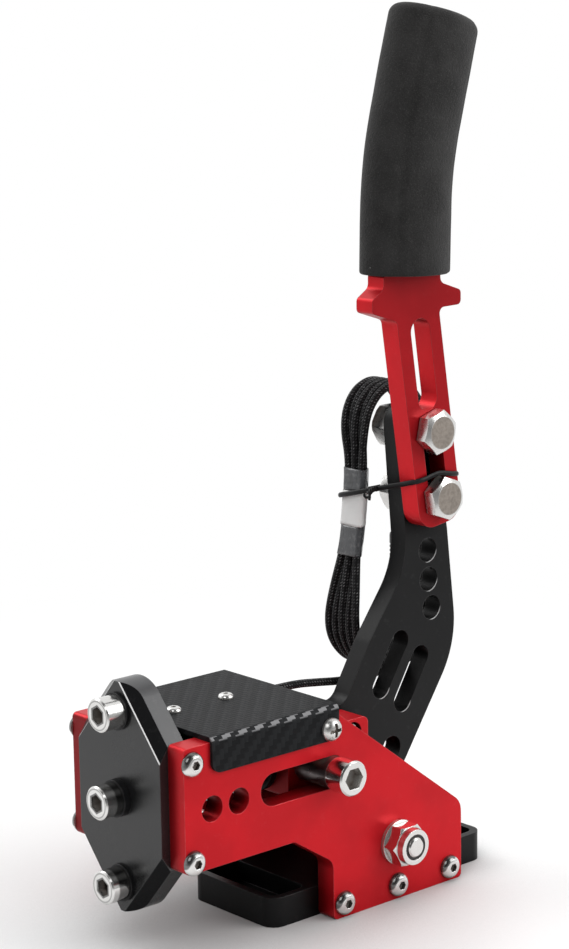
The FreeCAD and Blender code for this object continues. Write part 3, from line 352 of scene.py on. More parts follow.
def anodised(name, dye, roughness, metallic, edge, wear=0.3, gloss_level=0.2, hollow_shade_share=0.75,
             hollow_shade_tone=0.06, painted_light_zones=(), painted_highlight=None, hole_shade_share=0.0):
    """Bead-blasted and dyed aluminium: fine grain, faint clouds in the dye, paler edges, and painted shade
    that darkens hollows.

    A painted-light zone is a mask, the share of its colour that the dye keeps there (below 1 for painted
    shade, above 1 for painted light) and how metallic it is there.
    """
    tree = material_tree(name)
    soft, worn = tree.edge(edge)
    cloud = tree.speckle(38, 3)
    grain = tree.speckle(5200, 2, 0.6)
    scuff = tree.speckle(310, 4, 0.7).ramp(0.56, 0.74)
    # Painted shade: hollows and holes, found by ambient occlusion, are darkened and made mirror-like so that
    # they stay dark.
    hollow_shade = tree.openness(0.055).ramp(0.5, 0.12, 0.0, hollow_shade_share)
    if hole_shade_share:
        hollow_shade = hollow_shade.max(tree.openness(0.012).ramp(0.85, 0.5, 0.0, hole_shade_share))
    rub = worn * tree.speckle(150, 3).ramp(0.3, 0.62, wear * 0.35, wear)
    shade = tree.paint(scaled(dye, 0.9), (cloud.ramp(0.35, 0.65), scaled(dye, 1.06)),
                       (scuff * 0.1, lighter(dye, 0.08)), (rub, lighter(scaled(dye, 1.1), 0.2)))
    # Painted light and shade, zone by zone.
    for zone, share, zone_metallic in painted_light_zones:
        part = zone(tree)
        shade = tree.darken(part, shade, share)
        metallic = tree.blend(part, metallic, zone_metallic)
    # Painted shade in hollows, in a deep tone of the dye.
    shade = tree.mix(hollow_shade, shade, scaled(dye, hollow_shade_tone))
    metallic = tree.blend(hollow_shade, metallic, 1.0)
    # A painted highlight: a near-white, non-metallic line where its mask says.
    if painted_highlight is not None:
        line = painted_highlight(tree)
        shade = tree.mix(line, shade, (0.88, 0.88, 0.88))
        metallic = tree.blend(line, metallic, 0.0)
    gloss = cloud.ramp(0.3, 0.7, roughness - 0.035, roughness + 0.035) + worn * -0.1
    gloss = gloss + (grain - 0.5) * 0.12
    return tree.finish(shade, gloss, metallic, tree.bump(grain, 0.00003, 0.35, soft),
                       Specular_IOR_Level=gloss_level)


def bright_metal(name, tint, roughness, edge=0.0003, turned=0.0, dull=None, groove=None):
    """Bright plated or polished steel: faint drawn lines, specks, softened edges and brownish painted shade
    in hollows.

    The dull mask marks a matt, darker face, and the groove mask marks painted shade and painted dark
    reflection.
    """
    tree = material_tree(name)
    soft, worn = tree.edge(edge)
    # Painted shade: hollows found by ambient occlusion.
    hollow_shade = tree.openness(0.006, 8).ramp(0.7, 0.3)
    smear = tree.speckle(240, 3, 0.6)
    fine = tree.speckle(2600, 3, 0.7)
    lines = tree.speckle(1.0, 2, 0.5, tree.stretched((900, 5200, 900)))
    pit = tree.speckle(1500).ramp(0.68, 0.78)
    shade = tree.paint(tint, (pit * 0.35, darker(tint, 0.6)), (worn * 0.25, lighter(tint, 0.5)))
    gloss = smear.ramp(0.3, 0.7, roughness * 0.8, roughness * 1.35) + fine * 0.05
    if dull is not None:
        face = dull(tree)
        cast = tree.speckle(700, 4, 0.7).ramp(0.3, 0.7)
        shade = tree.mix(face, shade, tree.mix(cast, (0.3, 0.265, 0.235), (0.42, 0.37, 0.325)))
        gloss = gloss + face * 0.16
    # Brownish painted shade in hollows.
    shade = tree.mix(hollow_shade, shade, (0.2, 0.17, 0.145))
    # The groove mask darkens with painted shade and painted dark reflection.
    if groove is not None:
        shade = tree.darken(groove(tree), shade, 0.25)
    relief = fine * 0.4 + lines * turned
    return tree.finish(shade, gloss, tree.blend(hollow_shade, 1.0, 0.3), tree.bump(relief, 0.00002, 0.3, soft))


def moulded(name, tint, roughness, edge, grain=1400.0, depth=0.00004, gloss_level=0.5):
    """Moulded plastic or paper: fine grain, faint clouds and softened edges."""
    tree = material_tree(name)
    soft, worn = tree.edge(edge)
    cloud = tree.speckle(60, 3)
    fine = tree.speckle(grain, 3, 0.6)
    shade = tree.paint(darker(tint, 0.12), (cloud.ramp(0.3, 0.7), lighter(tint, 0.015)),
                       (worn * 0.4, lighter(tint, 0.12)))
    gloss = fine.ramp(0.3, 0.7, roughness - 0.06, roughness + 0.06)
    return tree.finish(shade, gloss, 0.0, tree.bump(fine, depth, 0.5, soft), Specular_IOR_Level=gloss_level)


def carbon_weave(name, tow, edge):
    """Twill of flat carbon tows under clear resin, carried round the cover's two bends, with a painted
    highlight on the tows at the bends.
    """
    tree = material_tree(name)
    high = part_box("cover")[1]
    x, y, z = tree.split(tree.place())
    below = high.z - z
    across = (y + below * y.math("SIGN")) / tow
    along = x / tow
    over = ((across.floor() - along.floor()) % 4.0).math("LESS_THAN", 1.5)
    warp_round = (along.math("FRACT") * math.pi).sine().math("POWER", 0.5)
    weft_round = (across.math("FRACT") * math.pi).sine().math("POWER", 0.5)
    warp_rise = ((across - along.floor()) % 4.0 * (math.pi / 2)).sine()
    weft_rise = (((across.floor() - along) % 4.0 + -1.0) * (-math.pi / 2)).sine()
    height = tree.blend(over, weft_round + weft_rise.max(0.0), warp_round + warp_rise.max(0.0))
    fibres = tree.blend(over, *(tree.speckle(1.0, 2, 0.6, tree.stretched(scale))
                                for scale in ((300, 9000, 9000), (9000, 300, 300))))
    soft, worn = tree.edge(edge)
    bend = (high.y - abs(y)).reach(below)
    # Painted highlight on the weft tows where they round the cover's bends.
    lit = bend.ramp(0.0021, 0.0012) * (1.0 - over)
    shade = tree.paint((0.007, 0.0073, 0.008), (over, (0.016, 0.0168, 0.018)),
                       (fibres.ramp(0.3, 0.7, 0.0, 0.5), (0.016, 0.0165, 0.018)),
                       (lit * 0.55, (0.42, 0.42, 0.43)), (worn * 0.2, (0.16, 0.16, 0.17)))
    return tree.finish(shade, fibres.ramp(0.3, 0.7, 0.42, 0.55), 0.0, tree.bump(height, 0.00012, 0.55, soft),
                       Specular_IOR_Level=0.08)


def braided(name, black, fleck, strands, step):
    """A diagonal one-over-one braid that follows the cord through its own coordinates."""
    tree = material_tree(name)
    turn, rest = (tree.get("Attribute", output="Vector", attribute_name=attribute)
                  for attribute in ("cord_turn", "cord_place"))
    cos, sin, run = tree.split(turn)
    angle = sin.math("ARCTAN2", cos) * (strands / (2 * math.pi))
    rise = run / step
    a = ((angle + rise) * math.pi).sine()
    b = ((angle - rise) * math.pi).sine()
    crossing = (a * b).ramp(-0.12, 0.12)
    height = tree.blend(crossing, abs(a), abs(b))
    thread = tree.speckle(3600, 2, 0.6, rest)
    # Painted highlight: the fleck colour on the braid's raised crossings.
    lit = height.ramp(0.66, 0.98) * crossing * thread.ramp(0.35, 0.6, 0.25, 1.0)
    patch = tree.speckle(520, 4, 0.65, rest).ramp(0.38, 0.62, 0.12, 1.15)
    relief = height + thread * 0.3
    return tree.finish(tree.mix(lit * patch, black, fleck), height.ramp(0.0, 1.0, 0.75, 0.5), 0.0,
                       tree.bump(relief, 0.0002, 0.8),
                       Sheen_Weight=0.04, Sheen_Roughness=0.4, Specular_IOR_Level=0.14)


def foam_skin(name, tint, dust):
    """Closed-cell foam: fine pores, soft mottling and a few specks of lint."""
    tree = material_tree(name)
    place = tree.place()
    pores, coarse, specks = (
        tree.add("TexVoronoi", {"Vector": place, "Scale": scale, "Randomness": 1.0}).outputs
        for scale in (1500, 520, 95))
    fuzz = tree.speckle(2400, 3, 0.7)
    mottle = tree.speckle(55, 4, 0.6)
    rare = tree.split(Value(tree, specks["Color"]))[0].math("GREATER_THAN", 0.84)
    lint = Value(tree, specks["Distance"]).ramp(0.05, 0.025) * rare
    shade = tree.paint(darker(tint, 0.2), (mottle.ramp(0.3, 0.7), lighter(tint, 0.012)),
                       (fuzz.ramp(0.52, 0.75) * 0.35, dust), (lint * 0.8, lighter(dust, 0.3)))
    relief = Value(tree, pores["Distance"]) + Value(tree, coarse["Distance"]) * 0.8 + fuzz * 0.8
    return tree.finish(shade, fuzz.ramp(0.3, 0.7, 0.95, 0.82), 0.0, tree.bump(relief, 0.00022, 0.6),
                       Sheen_Weight=0.12, Sheen_Roughness=0.5, Specular_IOR_Level=0.3)


def tape_film(name, tint):
    """Wound tape: a smooth film with long wrinkles, paler streaks of painted highlight and painted shade in
    the wrinkles' troughs.
    """
    tree = material_tree(name)
    wrinkles = tree.speckle(1.0, 4, 0.65, tree.stretched((260, 260, 90)))
    streak = tree.speckle(420, 3, 0.6).ramp(0.5, 0.72)
    # Painted highlight in paler streaks; painted shade in the wrinkles' troughs.
    shade = tree.paint(tint, (streak * 0.55, lighter(tint, 0.14)),
                       (wrinkles.ramp(0.42, 0.36), darker(tint, 0.4)))
    return tree.finish(shade, wrinkles.ramp(0.3, 0.7, 0.16, 0.36), 0.0, tree.bump(wrinkles, 0.0005, 0.7),
                       Coat_Weight=0.3, Coat_Roughness=0.15)


def circuit_board(name):
    """Solder mask with faint copper tracks below it."""
    tree = material_tree(name)
    tracks = tree.get("TexBrick", {"Vector": tree.place(), "Scale": 110, "Mortar Size": 0.03,
                                   "Brick Width": 0.9, "Row Height": 0.35}, "Fac")
    cloud = tree.speckle(90)
    shade = tree.paint((0.012, 0.12, 0.045), (tracks, (0.03, 0.24, 0.09)),
                       (cloud.ramp(0.3, 0.7, 0.0, 0.3), (0.01, 0.09, 0.035)))
    return tree.finish(shade, cloud.ramp(0.3, 0.7, 0.25, 0.35), 0.0, tree.bump(tracks, 0.00004, 0.5))


# Meshes


def add_object(name, data):
    thing = bpy.data.objects.new(name, data)
    bpy.context.scene.collection.objects.link(thing)
    return thing


def add_mesh(name, shape, material, smooth=True):
    points, faces = shape
    mesh = bpy.data.meshes.new(name)
    mesh.from_pydata([tuple(p) for p in points], [], faces)
    mesh.polygons.foreach_set("use_smooth", [smooth] * len(mesh.polygons))
    mesh.materials.append(material)
    mesh.validate()
    mesh.update()
    return add_object(name, mesh)


def circle(count):
    """The cosine and sine of the angles that share out a full turn."""
    return [(math.cos(2 * math.pi * k / count), math.sin(2 * math.pi * k / count)) for k in range(count)]


def skin(rings, closed=False):
    """Points and faces of a surface through rings that have the same number of points."""
    count = len(rings[0])
    points = [p for ring in rings for p in ring]
    faces = []
    for i in range(len(rings) if closed else len(rings) - 1):
        a, b = i * count, (i + 1) % len(rings) * count
        for k in range(count):
            n = (k + 1) % count
            faces.append((a + k, a + n, b + n, b + k))
    if not closed:
        for ring_start, turn in ((0, -1), ((len(rings) - 1) * count, 1)):
            faces.append(tuple(ring_start + k for k in range(count))[::turn])
    return points, faces


def directions(path, closed=False):
    """Unit tangent, side and up at each point of a path, carried along it without twisting."""
    around = [path[-1], *path, path[0]] if closed else [path[0], *path, path[-1]]
    tangents = [(ahead - behind).normalized() for behind, ahead in zip(around, around[2:])]
    side = tangents[0].orthogonal().normalized()
    frames = []
    for tangent in tangents:
        side = (side - tangent * side.dot(tangent)).normalized()
        frames.append((tangent, side, tangent.cross(side)))
    return frames


def tube(path, radius, sides):
    """Rings round a path, with the angle and run of each point."""
    rings, turns = [], []
    run = 0.0
    for i, (point, (tangent, side, up)) in enumerate(zip(path, directions(path))):
        if i:
            run += (point - path[i - 1]).length
        rings.append([point + (side * c + up * s) * radius for c, s in circle(sides)])
        turns += [(c, s, run) for c, s in circle(sides)]
    return rings, turns


def write_vectors(thing, name, vectors):
    attribute = thing.data.attributes.new(name, "FLOAT_VECTOR", "POINT")
    attribute.data.foreach_set("vector", [c for v in vectors for c in v])


def smooth_line(points, steps, cyclic=False):
    """The points of a smooth spline that has the given points as its control points."""
    curve = bpy.data.curves.new("line", "CURVE")
    curve.dimensions = "3D"
    curve.resolution_u = steps
    spline = curve.splines.new("NURBS")
    spline.points.add(len(points) - 1)
    for target, point in zip(spline.points, points):
        target.co = (*point, 1)
    spline.order_u = 3
    spline.use_cyclic_u = cyclic
    spline.use_endpoint_u = not cyclic
    carrier = bpy.data.objects.new("line", curve)
    mesh = bpy.data.meshes.new_from_object(carrier)
    line = [v.co.copy() for v in mesh.vertices]
    bpy.data.objects.remove(carrier)
    bpy.data.meshes.remove(mesh)
    bpy.data.curves.remove(curve)
    return line


# Cord, in millimetres


STRETCH = ((-26, 12, 82), (-14, 12, 82), (-2, 10.6, 80.7), (10, 8.6, 79.3), (23, 7.4, 79.1))
HANK_LOOPS = 5
HANK_PITCH = 3.5
HANK_MIDDLE_Y = 17.95
BUNDLE_PITCH = 1.9
BUNDLE_ZIGZAG = 2.7
# One loop from its lowest point: x, z, share of the step across, how far the strands close up
LOOP = (
    (37, 80.2, 0, 0), (46, 81.3, 0, 0), (53.8, 86.4, 0, 0), (58.8, 94.2, 0, 0),
    (60.3, 104, 0.05, 0), (60, 122, 0.25, 0), (60, 141, 0.5, 0), (60, 160, 0.8, 0),
    (60.3, 178, 1, 0), (58.3, 187.6, 1, 0), (52.6, 195, 1, 0), (43.9, 198.3, 1, 0),
    (35.2, 195.6, 1, 0.05), (29.4, 188.6, 1, 0.15), (27.6, 179.4, 1, 0.35), (28.9, 167, 1, 1),
    (27.9, 149, 1, 1), (25.4, 131, 1, 1), (21.2, 115, 1, 0.1), (18.6, 101.5, 1, -0.4),
    (20.4, 91.4, 1, -0.3), (27, 83.4, 1, 0),
)
LEFT_FROM = 12
PLUG_X = 69.5
PLUG_Y = 31.65
PLUG_FOOT_Z = 103.0
LINE_STEPS = 8
CORD_SIDES = 14
# In metres: the hank's strands on this side of it are the left ones
LEFT_STRANDS_X = 0.042


def hank_points():
    """The hank's control points: loops behind the lever, each a step further out, then the tail."""
    points = []
    for loop in range(HANK_LOOPS):
        place = loop - (HANK_LOOPS - 1) / 2
        side = 0.5 if loop % 2 else -0.5
        for i, (x, z, step, close) in enumerate(LOOP):
            y = (place - 1 + step) * HANK_PITCH
            if i >= LEFT_FROM:
                x += side * BUNDLE_ZIGZAG * math.sqrt(max(close, 0.0))
                y = place * (HANK_PITCH * (1 - close) + BUNDLE_PITCH * close)
            points.append((x, HANK_MIDDLE_Y + y, z))
    return points + [(36.5, PLUG_Y - 4.6, 80.2), (47, PLUG_Y - 2, 80.7), (57, PLUG_Y - 0.4, 84.3),
                     (65, PLUG_Y, 90), (69, PLUG_Y, 97), (PLUG_X, PLUG_Y, PLUG_FOOT_Z)]


def cord_line():
    return smooth_line([Vector(p) * MM for p in (*STRETCH, *hank_points())], LINE_STEPS)


def strands_at(z):
    """Where the hank's left strands cross a height."""
    line = cord_line()
    found = []
    for a, b in zip(line, line[1:]):
        if (a.z - z) * (b.z - z) <= 0 and a.z != b.z and a.x < LEFT_STRANDS_X:
            found.append(a.lerp(b, (z - a.z) / (b.z - a.z)))
    return found


def wrap_ring(z, clear, sides, seed):
    """A tight closed line round the left strands at a height, with small creases."""
    strands = strands_at(z)
    middle = sum(strands, Vector()) / len(strands)
    ring = []
    for k in range(sides):
        angle = 2 * math.pi * k / sides
        way = Vector((math.cos(angle), math.sin(angle), 0))
        outer = max(strands, key=lambda p: (p - middle).dot(way))
        crease = noise.noise(Vector((angle * 2.2, z * 210, seed))) * 0.0001
        ring.append(outer + way * (clear + crease))
    return ring, middle


def wrap(cord, material, name, low, high, clear, seed, overlap):
    """A sleeve of tape or paper round the bundled strands, with a lapped edge that stands proud."""
    sides = 56
    step, lap, lap_height = 0.0011, 0.16, 1.7
    steps = max(6, round((high - low) / step))
    outside, inside = [], []
    for i in range(steps + 1):
        z = low + (high - low) * i / steps
        ring, middle = wrap_ring(z, cord.diameter / 2 + clear, sides, seed)
        ragged = noise.noise(Vector((seed, z * 900, 3.0))) * 0.6
        lapped = []
        for k, point in enumerate(ring):
            turn = (k / sides + overlap + ragged * 0.01) % 1.0
            proud = cord.tape_thickness * (1.0 if turn > lap else lap_height)
            lapped.append(point + (point - middle).normalized() * proud)
        outside.append(lapped)
        inside.append([p + (p - middle).normalized() * -0.00003 for p in ring])
    for rings in (outside, inside):
        for end, sign in ((0, -1), (-1, 1)):
            for k, point in enumerate(rings[end]):
                point.z += sign * abs(noise.noise(Vector((k * 0.35, seed, 7.0)))) * 0.0005
    return add_mesh(name, skin([*outside, *reversed(inside)], closed=True), material)


# Grip, in millimetres


GRIP_START = (29.8, -9.0, 245.5)
GRIP_LEANS = (math.radians(2.0), math.radians(15.5))
GRIP_LOW_RUN, GRIP_BEND, GRIP_HIGH_RUN = 25.0, 155.0, 41.0


def grip_length():
    return GRIP_LOW_RUN + GRIP_BEND * (GRIP_LEANS[1] - GRIP_LEANS[0]) + GRIP_HIGH_RUN


def grip_place(run):
    """The point and the lean on the grip's centreline at a distance from its foot."""
    x, y, z = GRIP_START
    low, high = GRIP_LEANS
    first = min(run, GRIP_LOW_RUN)
    x, z = x + math.sin(low) * first, z + math.cos(low) * first
    bent = min(max(run - GRIP_LOW_RUN, 0.0) / GRIP_BEND, high - low)
    lean = low + bent
    x += GRIP_BEND * (math.cos(low) - math.cos(lean))
    z += GRIP_BEND * (math.sin(lean) - math.sin(low))
    rest = max(run - GRIP_LOW_RUN - GRIP_BEND * (high - low), 0.0)
    x, z = x + math.sin(high) * rest, z + math.cos(high) * rest
    return Vector((x, y, z)) * MM, lean


def oval(half_depth, half_width, nose, count):
    """Points round the grip's oval of two flat and two tight arcs, as depth and width."""
    flat = half_depth - nose
    side = (half_width ** 2 + flat ** 2 - nose ** 2) / (2 * (half_width - nose))
    drop = side - half_width
    reach = math.atan2(flat, drop)
    points = []
    for u, v in circle(count):
        if abs(math.atan2(abs(u), abs(v))) < reach:
            along = -drop * abs(v) + math.sqrt(side ** 2 - (drop * u) ** 2)
        else:
            along = flat * abs(u) + math.sqrt(nose ** 2 - (flat * v) ** 2)
        points.append((along * u, along * v))
    return points


# Operators


def settings():
    return bpy.context.scene.handbrake


def dress(nodes, material):
    """Gives carried-over nodes a finish."""
    for name in nodes:
        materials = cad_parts[name].data.materials
        materials.clear()
        materials.append(material)


class HANDBRAKE_OT_stage(bpy.types.Operator):
    """Set up the camera, the pale floor and the soft lights"""

    bl_idname = "handbrake.stage"
    bl_label = "Stage"

    near_to_backdrop = (-0.75, 0.2)
    aim = (-0.02, 0, 0.15)
    # Name, place, size and power
    lamps = (("key", (0.8, -1.05, 0.85), 0.9, 9.5), ("fill", (-1.0, -0.6, 1.1), 0.8, 4.0),
             ("back", (-0.3, 1.2, 1.2), 0.9, 8.0))

    def execute(self, context):
        stage = settings().stage
        scene = context.scene
        scene.view_settings.view_transform = "Standard"
        lens = bpy.data.cameras.new("camera")
        lens.lens = stage.focal_length
        lens.sensor_width = stage.sensor_width
        lens.shift_x, lens.shift_y = stage.camera_shift
        camera = add_object("camera", lens)
        camera.location = stage.camera_place
        camera.rotation_euler = stage.camera_turn
        scene.camera = camera
        self.floor(stage)
        self.room(scene, stage)
        for lamp in self.lamps:
            self.lamp(*lamp, stage.lamp_light)
        return {"FINISHED"}

    def floor(self, stage):
        half = stage.floor_size / 2
        points = [Vector((x * half, y * half, 0)) for x, y in ((-1, -1), (1, -1), (1, 1), (-1, 1))]
        tree = material_tree("floor")
        direct, glossy, diffuse = tree.rays()
        distance = tree.get("VectorMath", {0: tree.place()}, "Value", operation="LENGTH")
        far = distance.ramp(0.12, 0.5)
        backward = tree.dot(tree.place(), stage.backdrop_side) / distance
        dim = backward.ramp(*self.near_to_backdrop, stage.room_in_metal, 1.0)
        glow = tree.mix(glossy, (1, 1, 1), tree.mix(dim, (0, 0, 0), (1, 1, 1)))
        shade = tree.mix(diffuse, stage.floor_colour, scaled(stage.floor_colour, stage.floor_bounce))
        shadow = tree.openness(0.13, 8).ramp(0.96, 0.35, 0.0, 0.52)
        shade = tree.mix(shadow, shade, (0.1, 0.095, 0.095))
        matt = tree.get("BsdfDiffuse", {"Color": shade})
        white = tree.get("Emission", {"Color": glow, "Strength": 1.0})
        material = tree.surface("Material", tree.get("MixShader", {0: direct * far, 1: matt, 2: white}))
        floor = add_mesh("floor", (points, [(0, 1, 2, 3)]), material, smooth=False)

    def room(self, scene, stage):
        """A room that lights softly from one side, is seen as white and shows its dark parts in metal."""
        scene.world = bpy.data.worlds.new("room")
        tree = Tree(scene.world)
        direct, glossy, diffuse = tree.rays()
        dim = self.graded(tree, stage.backdrop_side, *self.near_to_backdrop, stage.room_in_metal, 1.0)
        ceiling = self.graded(tree, stage.dark_side, 0.5, 0.92, 1.0, 0.08)
        light = self.graded(tree, stage.lit_side, -0.7, 0.9, stage.room_light * 0.3, stage.room_light * 1.5)
        soft, white = (tree.get("Background", {"Color": (1, 1, 1), "Strength": strength})
                       for strength in (light, tree.blend(glossy, 1.0, dim * ceiling)))
        tree.surface("World", tree.get("MixShader", {0: direct, 1: soft, 2: white}))

    def graded(self, tree, side, *levels):
        """A value that rises from one side of the room to the other."""
        return tree.dot(tree.get("TexCoord", output="Generated"), side).ramp(*levels)

    def lamp(self, name, place, size, power, share):
        data = bpy.data.lights.new(name, "AREA")
        data.size = size
        data.energy = power * share
        lamp = add_object(name, data)
        lamp.location = place
        lamp.rotation_mode = "QUATERNION"
        lamp.rotation_quaternion = (Vector(self.aim) - Vector(place)).to_track_quat("-Z", "Y")


class HANDBRAKE_OT_cord_bands(bpy.types.Operator):
    """Wind two bands of tape and a bare label round the hank"""

    bl_idname = "handbrake.cord_bands"
    bl_label = "Tape And Label"

    # Name, foot, top, how far it clears the cord, seed of its creases and place of its lap
    bands = (("hank_tape_upper", 0.1547, 0.1637, 0.0001, 1.0, 0.3),
             ("hank_tape_lower", 0.1284, 0.1402, 0.0001, 2.0, 0.55),
             ("hank_label_sleeve", 0.1405, 0.1544, 0.0002, 3.0, 0.8))

    def execute(self, context):
        cord = settings().cord
        film = tape_film("tape_film", cord.tape)
        paper = moulded("label_paper", cord.label, 0.55, 0.0003, 2200, 0.00003)
        upper, lower, label = (wrap(cord, material, *band)
                               for material, band in zip((film, film, paper), self.bands))
        for piece, slot in ((upper, "tape"), (lower, "tape"), (label, "label")):
            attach(piece, "lever")
        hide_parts("hank_tape")
        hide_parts("hank_tape")
        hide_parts("hank_label")
        return {"FINISHED"}


class HANDBRAKE_OT_cord_tie(bpy.types.Operator):
    """Draw a thin wire tie round the handle, the lever and the hank, with its ends twisted"""

    bl_idname = "handbrake.cord_tie"
    bl_label = "Cord Tie"

    near_y = -14.3
    height = 162.2
    tilt = math.radians(14.5)
    bolt_x = 43.0
    rise = 1.9
    outline = ((30.6, -13.6), (34.5, -14.6), (39, -14.4), (43, -14.4), (47, -14.4), (51.5, -14.5),
               (55.2, -13.6), (58.4, -7), (62.4, 3), (63.3, 10), (63.3, 22), (62.6, 28.6),
               (57, 30), (44, 29.2), (31, 28), (26, 27.4), (23.6, 25), (23.4, 18),
               (24, 11), (26, 4), (28.4, -5))
    sides = 12
    twists = 2.6
    knot_steps = 25
    flare_from = 0.8

    def lift(self, point):
        """A point of the tilted outline; on the near side the lower bolt's head pushes the tie up."""
        x, across = point
        over = across - self.near_y
        bump = self.rise * math.exp(-((x - self.bolt_x) / 6.0) ** 2) if across < -10 else 0.0
        return Vector((x, self.near_y + over * math.cos(self.tilt),
                       self.height + bump - over * math.sin(self.tilt))) * MM

    def execute(self, context):
        cord = settings().cord
        line = smooth_line([self.lift(p) for p in self.outline], 6, cyclic=True)
        rings = []
        half_w, half_t = cord.tie_width / 2, cord.tie_thickness / 2
        for point, (tangent, side, up) in zip(line, directions(line, closed=True)):
            outward = tangent.cross(Vector((0, 0, 1))).normalized()
            upright = outward.cross(tangent).normalized()
            ring = []
            for c, s in circle(self.sides):
                core = 1.0 if abs(s) < 0.6 else 0.55
                ring.append(point + upright * (half_w * s) + outward * (half_t * c * core))
            rings.append(ring)
        material = moulded("tie_sleeve", (0.006, 0.006, 0.0065), 0.42, 0.0002, 1800, gloss_level=0.2)
        tie = add_mesh("cord_tie_band", skin(rings, closed=True), material)
        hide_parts("cord_tie")
        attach(tie, "lever")
        knot = self.knot(material, half_t)
        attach(knot, "lever")
        return {"FINISHED"}

    def knot(self, material, radius):
        """The two ends, twisted round each other where they meet."""
        start = self.lift((26.6, 4.5)) + Vector((-0.0006, 0, 0))
        points, faces = [], []
        for phase in (0.0, math.pi):
            path = []
            for i in range(self.knot_steps + 1):
                t = i / self.knot_steps
                angle = phase + t * self.twists * 2 * math.pi
                spread = radius * (1.15 + max(t - self.flare_from, 0.0) * 9)
                along = Vector((-0.0062 * t, -0.0005 * t, 0.0006 * math.sin(t * 3) - 0.0026 * t * t))
                path.append(start + along + Vector((0, math.cos(angle), math.sin(angle))) * spread)
            new_points, new_faces = skin(tube(path, radius * 0.95, 8)[0])
            faces += [tuple(i + len(points) for i in face) for face in new_faces]
            points += new_points
        return add_mesh("cord_tie_twist", (points, faces), material)


class HANDBRAKE_OT_plug(bpy.types.Operator):
    """Mould the plug's body over the cord's end and finish its metal shell"""

    bl_idname = "handbrake.plug"
    bl_label = "Plug"

    # Share of the height, of the width and of the depth
    neck = ((0.0, 0.34, 0.62), (0.02, 0.4, 0.72), (0.2, 0.5, 0.8), (0.24, 0.62, 0.86),
            (0.3, 0.93, 0.95), (0.34, 0.985, 1.0), (0.46, 1.0, 1.0))
    crown = ((0.95, 1.0, 1.0), (0.985, 0.985, 0.97), (1.0, 0.95, 0.9))
    groove = ((0.0, 1.0, 1.0), (0.012, 0.975, 0.93), (0.032, 0.975, 0.93), (0.044, 1.0, 1.0))
    grooves_from, groove_pitch, groove_count = 0.5, 0.07, 5

    def execute(self, context):
        metal = settings().metal
        low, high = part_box("usb_plug_body")
        middle = (low + high) / 2
        half = (high - low) / 2
        grooves = [(self.grooves_from + i * self.groove_pitch + t, wide, deep)
                   for i in range(self.groove_count) for t, wide, deep in self.groove]
        rings = [self.oblong(middle, half.x * wide, half.y * deep, low.z + (high.z - low.z) * t)
                 for t, wide, deep in (*self.neck, *grooves, *self.crown)]
        plastic = moulded("plug_plastic", metal.plastic, 0.48, 0.0004, 1300)
        body = add_mesh("plug_body", skin(rings), plastic)
        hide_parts("usb_plug_body")
        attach(body, "lever")
        dress(["usb_plug_shell"], bright_metal("plug_shell", metal.zinc, 0.2, 0.0002))
        return {"FINISHED"}

    def oblong(self, middle, half_x, half_y, z):
        ring = []
        corner = min(half_x, half_y) * 0.55
        for quarter in range(4):
            sx = 1 if quarter in (0, 3) else -1
            sy = 1 if quarter in (0, 1) else -1
            for k in range(6):
                angle = math.pi / 2 * (quarter + k / 5)
                x = sx * (half_x - corner) + corner * math.cos(angle)
                y = sy * (half_y - corner) + corner * math.sin(angle)
                ring.append(Vector((middle.x + x, middle.y + y, z)))
        return ring


class HANDBRAKE_OT_cord(bpy.types.Operator):
    """Lay the braided cord from the strain relief to the hank and its plug"""

    bl_idname = "handbrake.cord"
    bl_label = "Cord"

    def execute(self, context):
        cord = settings().cord
        line = cord_line()
        rings, turns = tube(line, cord.diameter / 2, CORD_SIDES)
        shape = skin(rings)
        braid = braided("braid", cord.black, cord.fleck, cord.strands, cord.strand)
        piece = add_mesh("braided_cord", shape, braid)
        write_vectors(piece, "cord_turn", turns)
        write_vectors(piece, "cord_place", shape[0])
        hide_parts("cord_stretch", "cord_hank")
        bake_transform(piece)
        return {"FINISHED"}


class HANDBRAKE_OT_grip(bpy.types.Operator):
    """Form the foam grip over the handle's tang"""

    bl_idname = "handbrake.grip"
    bl_label = "Foam Grip"

    sides = 72
    rows_between = 44
    crown_rise = 0.0009

    def execute(self, context):
        grip = settings().grip
        total = grip_length() * MM
        section = oval(grip.half_depth, grip.half_width, grip.nose, self.sides)
        rings = []
        for run, inset in self.stations(total, grip):
            centre, lean = grip_place(run / MM)
            ahead = Vector((math.cos(lean), 0, -math.sin(lean)))
            up = Vector((math.sin(lean), 0, math.cos(lean)))
            ring = []
            for u, v in section:
                out = Vector((u, v, 0)).length
                share = max(0.0, (out - inset) / out)
                point = centre + ahead * (u * share) + Vector((0, v * share, 0))
                way = (ahead * u + Vector((0, v, 0))).normalized()
                wave = noise.noise(point * 38) * 0.7 + noise.noise(point * 110) * 0.3
                crown = up * self.crown_rise * (1 - min(1.0, share)) if run > total * 0.9 else Vector()
                ring.append(point + way * (wave * grip.swell - grip.swell * 0.6) + crown)
            rings.append(ring)
        piece = add_mesh("grip_sleeve", skin(rings), foam_skin("foam", grip.foam, grip.fluff))
        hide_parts("foam_grip")
        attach(piece, "lever")
        return {"FINISHED"}

    def stations(self, total, grip):
        """Distance along the grip and how far the oval is drawn in, foot to crown."""
        foot, top = grip.foot_round, grip.top_round
        rows = [(0.0, 0.011), (0.0, 0.005), (0.0, foot * 1.05)]
        for k in range(1, 5):
            angle = math.pi / 2 * k / 5
            rows.append((foot * (1 - math.cos(angle)), foot * (1 - math.sin(angle))))
        count = self.rows_between
        rows += [(foot + (total - foot - top) * k / count, 0.0) for k in range(count + 1)]
        for k in range(1, 8):
            angle = math.pi / 2 * k / 7
            rows.append((total - top * (1 - math.sin(angle)), top * (1 - math.cos(angle))))
        rows += [(total, top + 0.003), (total, 0.0095), (total, 0.0125)]
        return rows


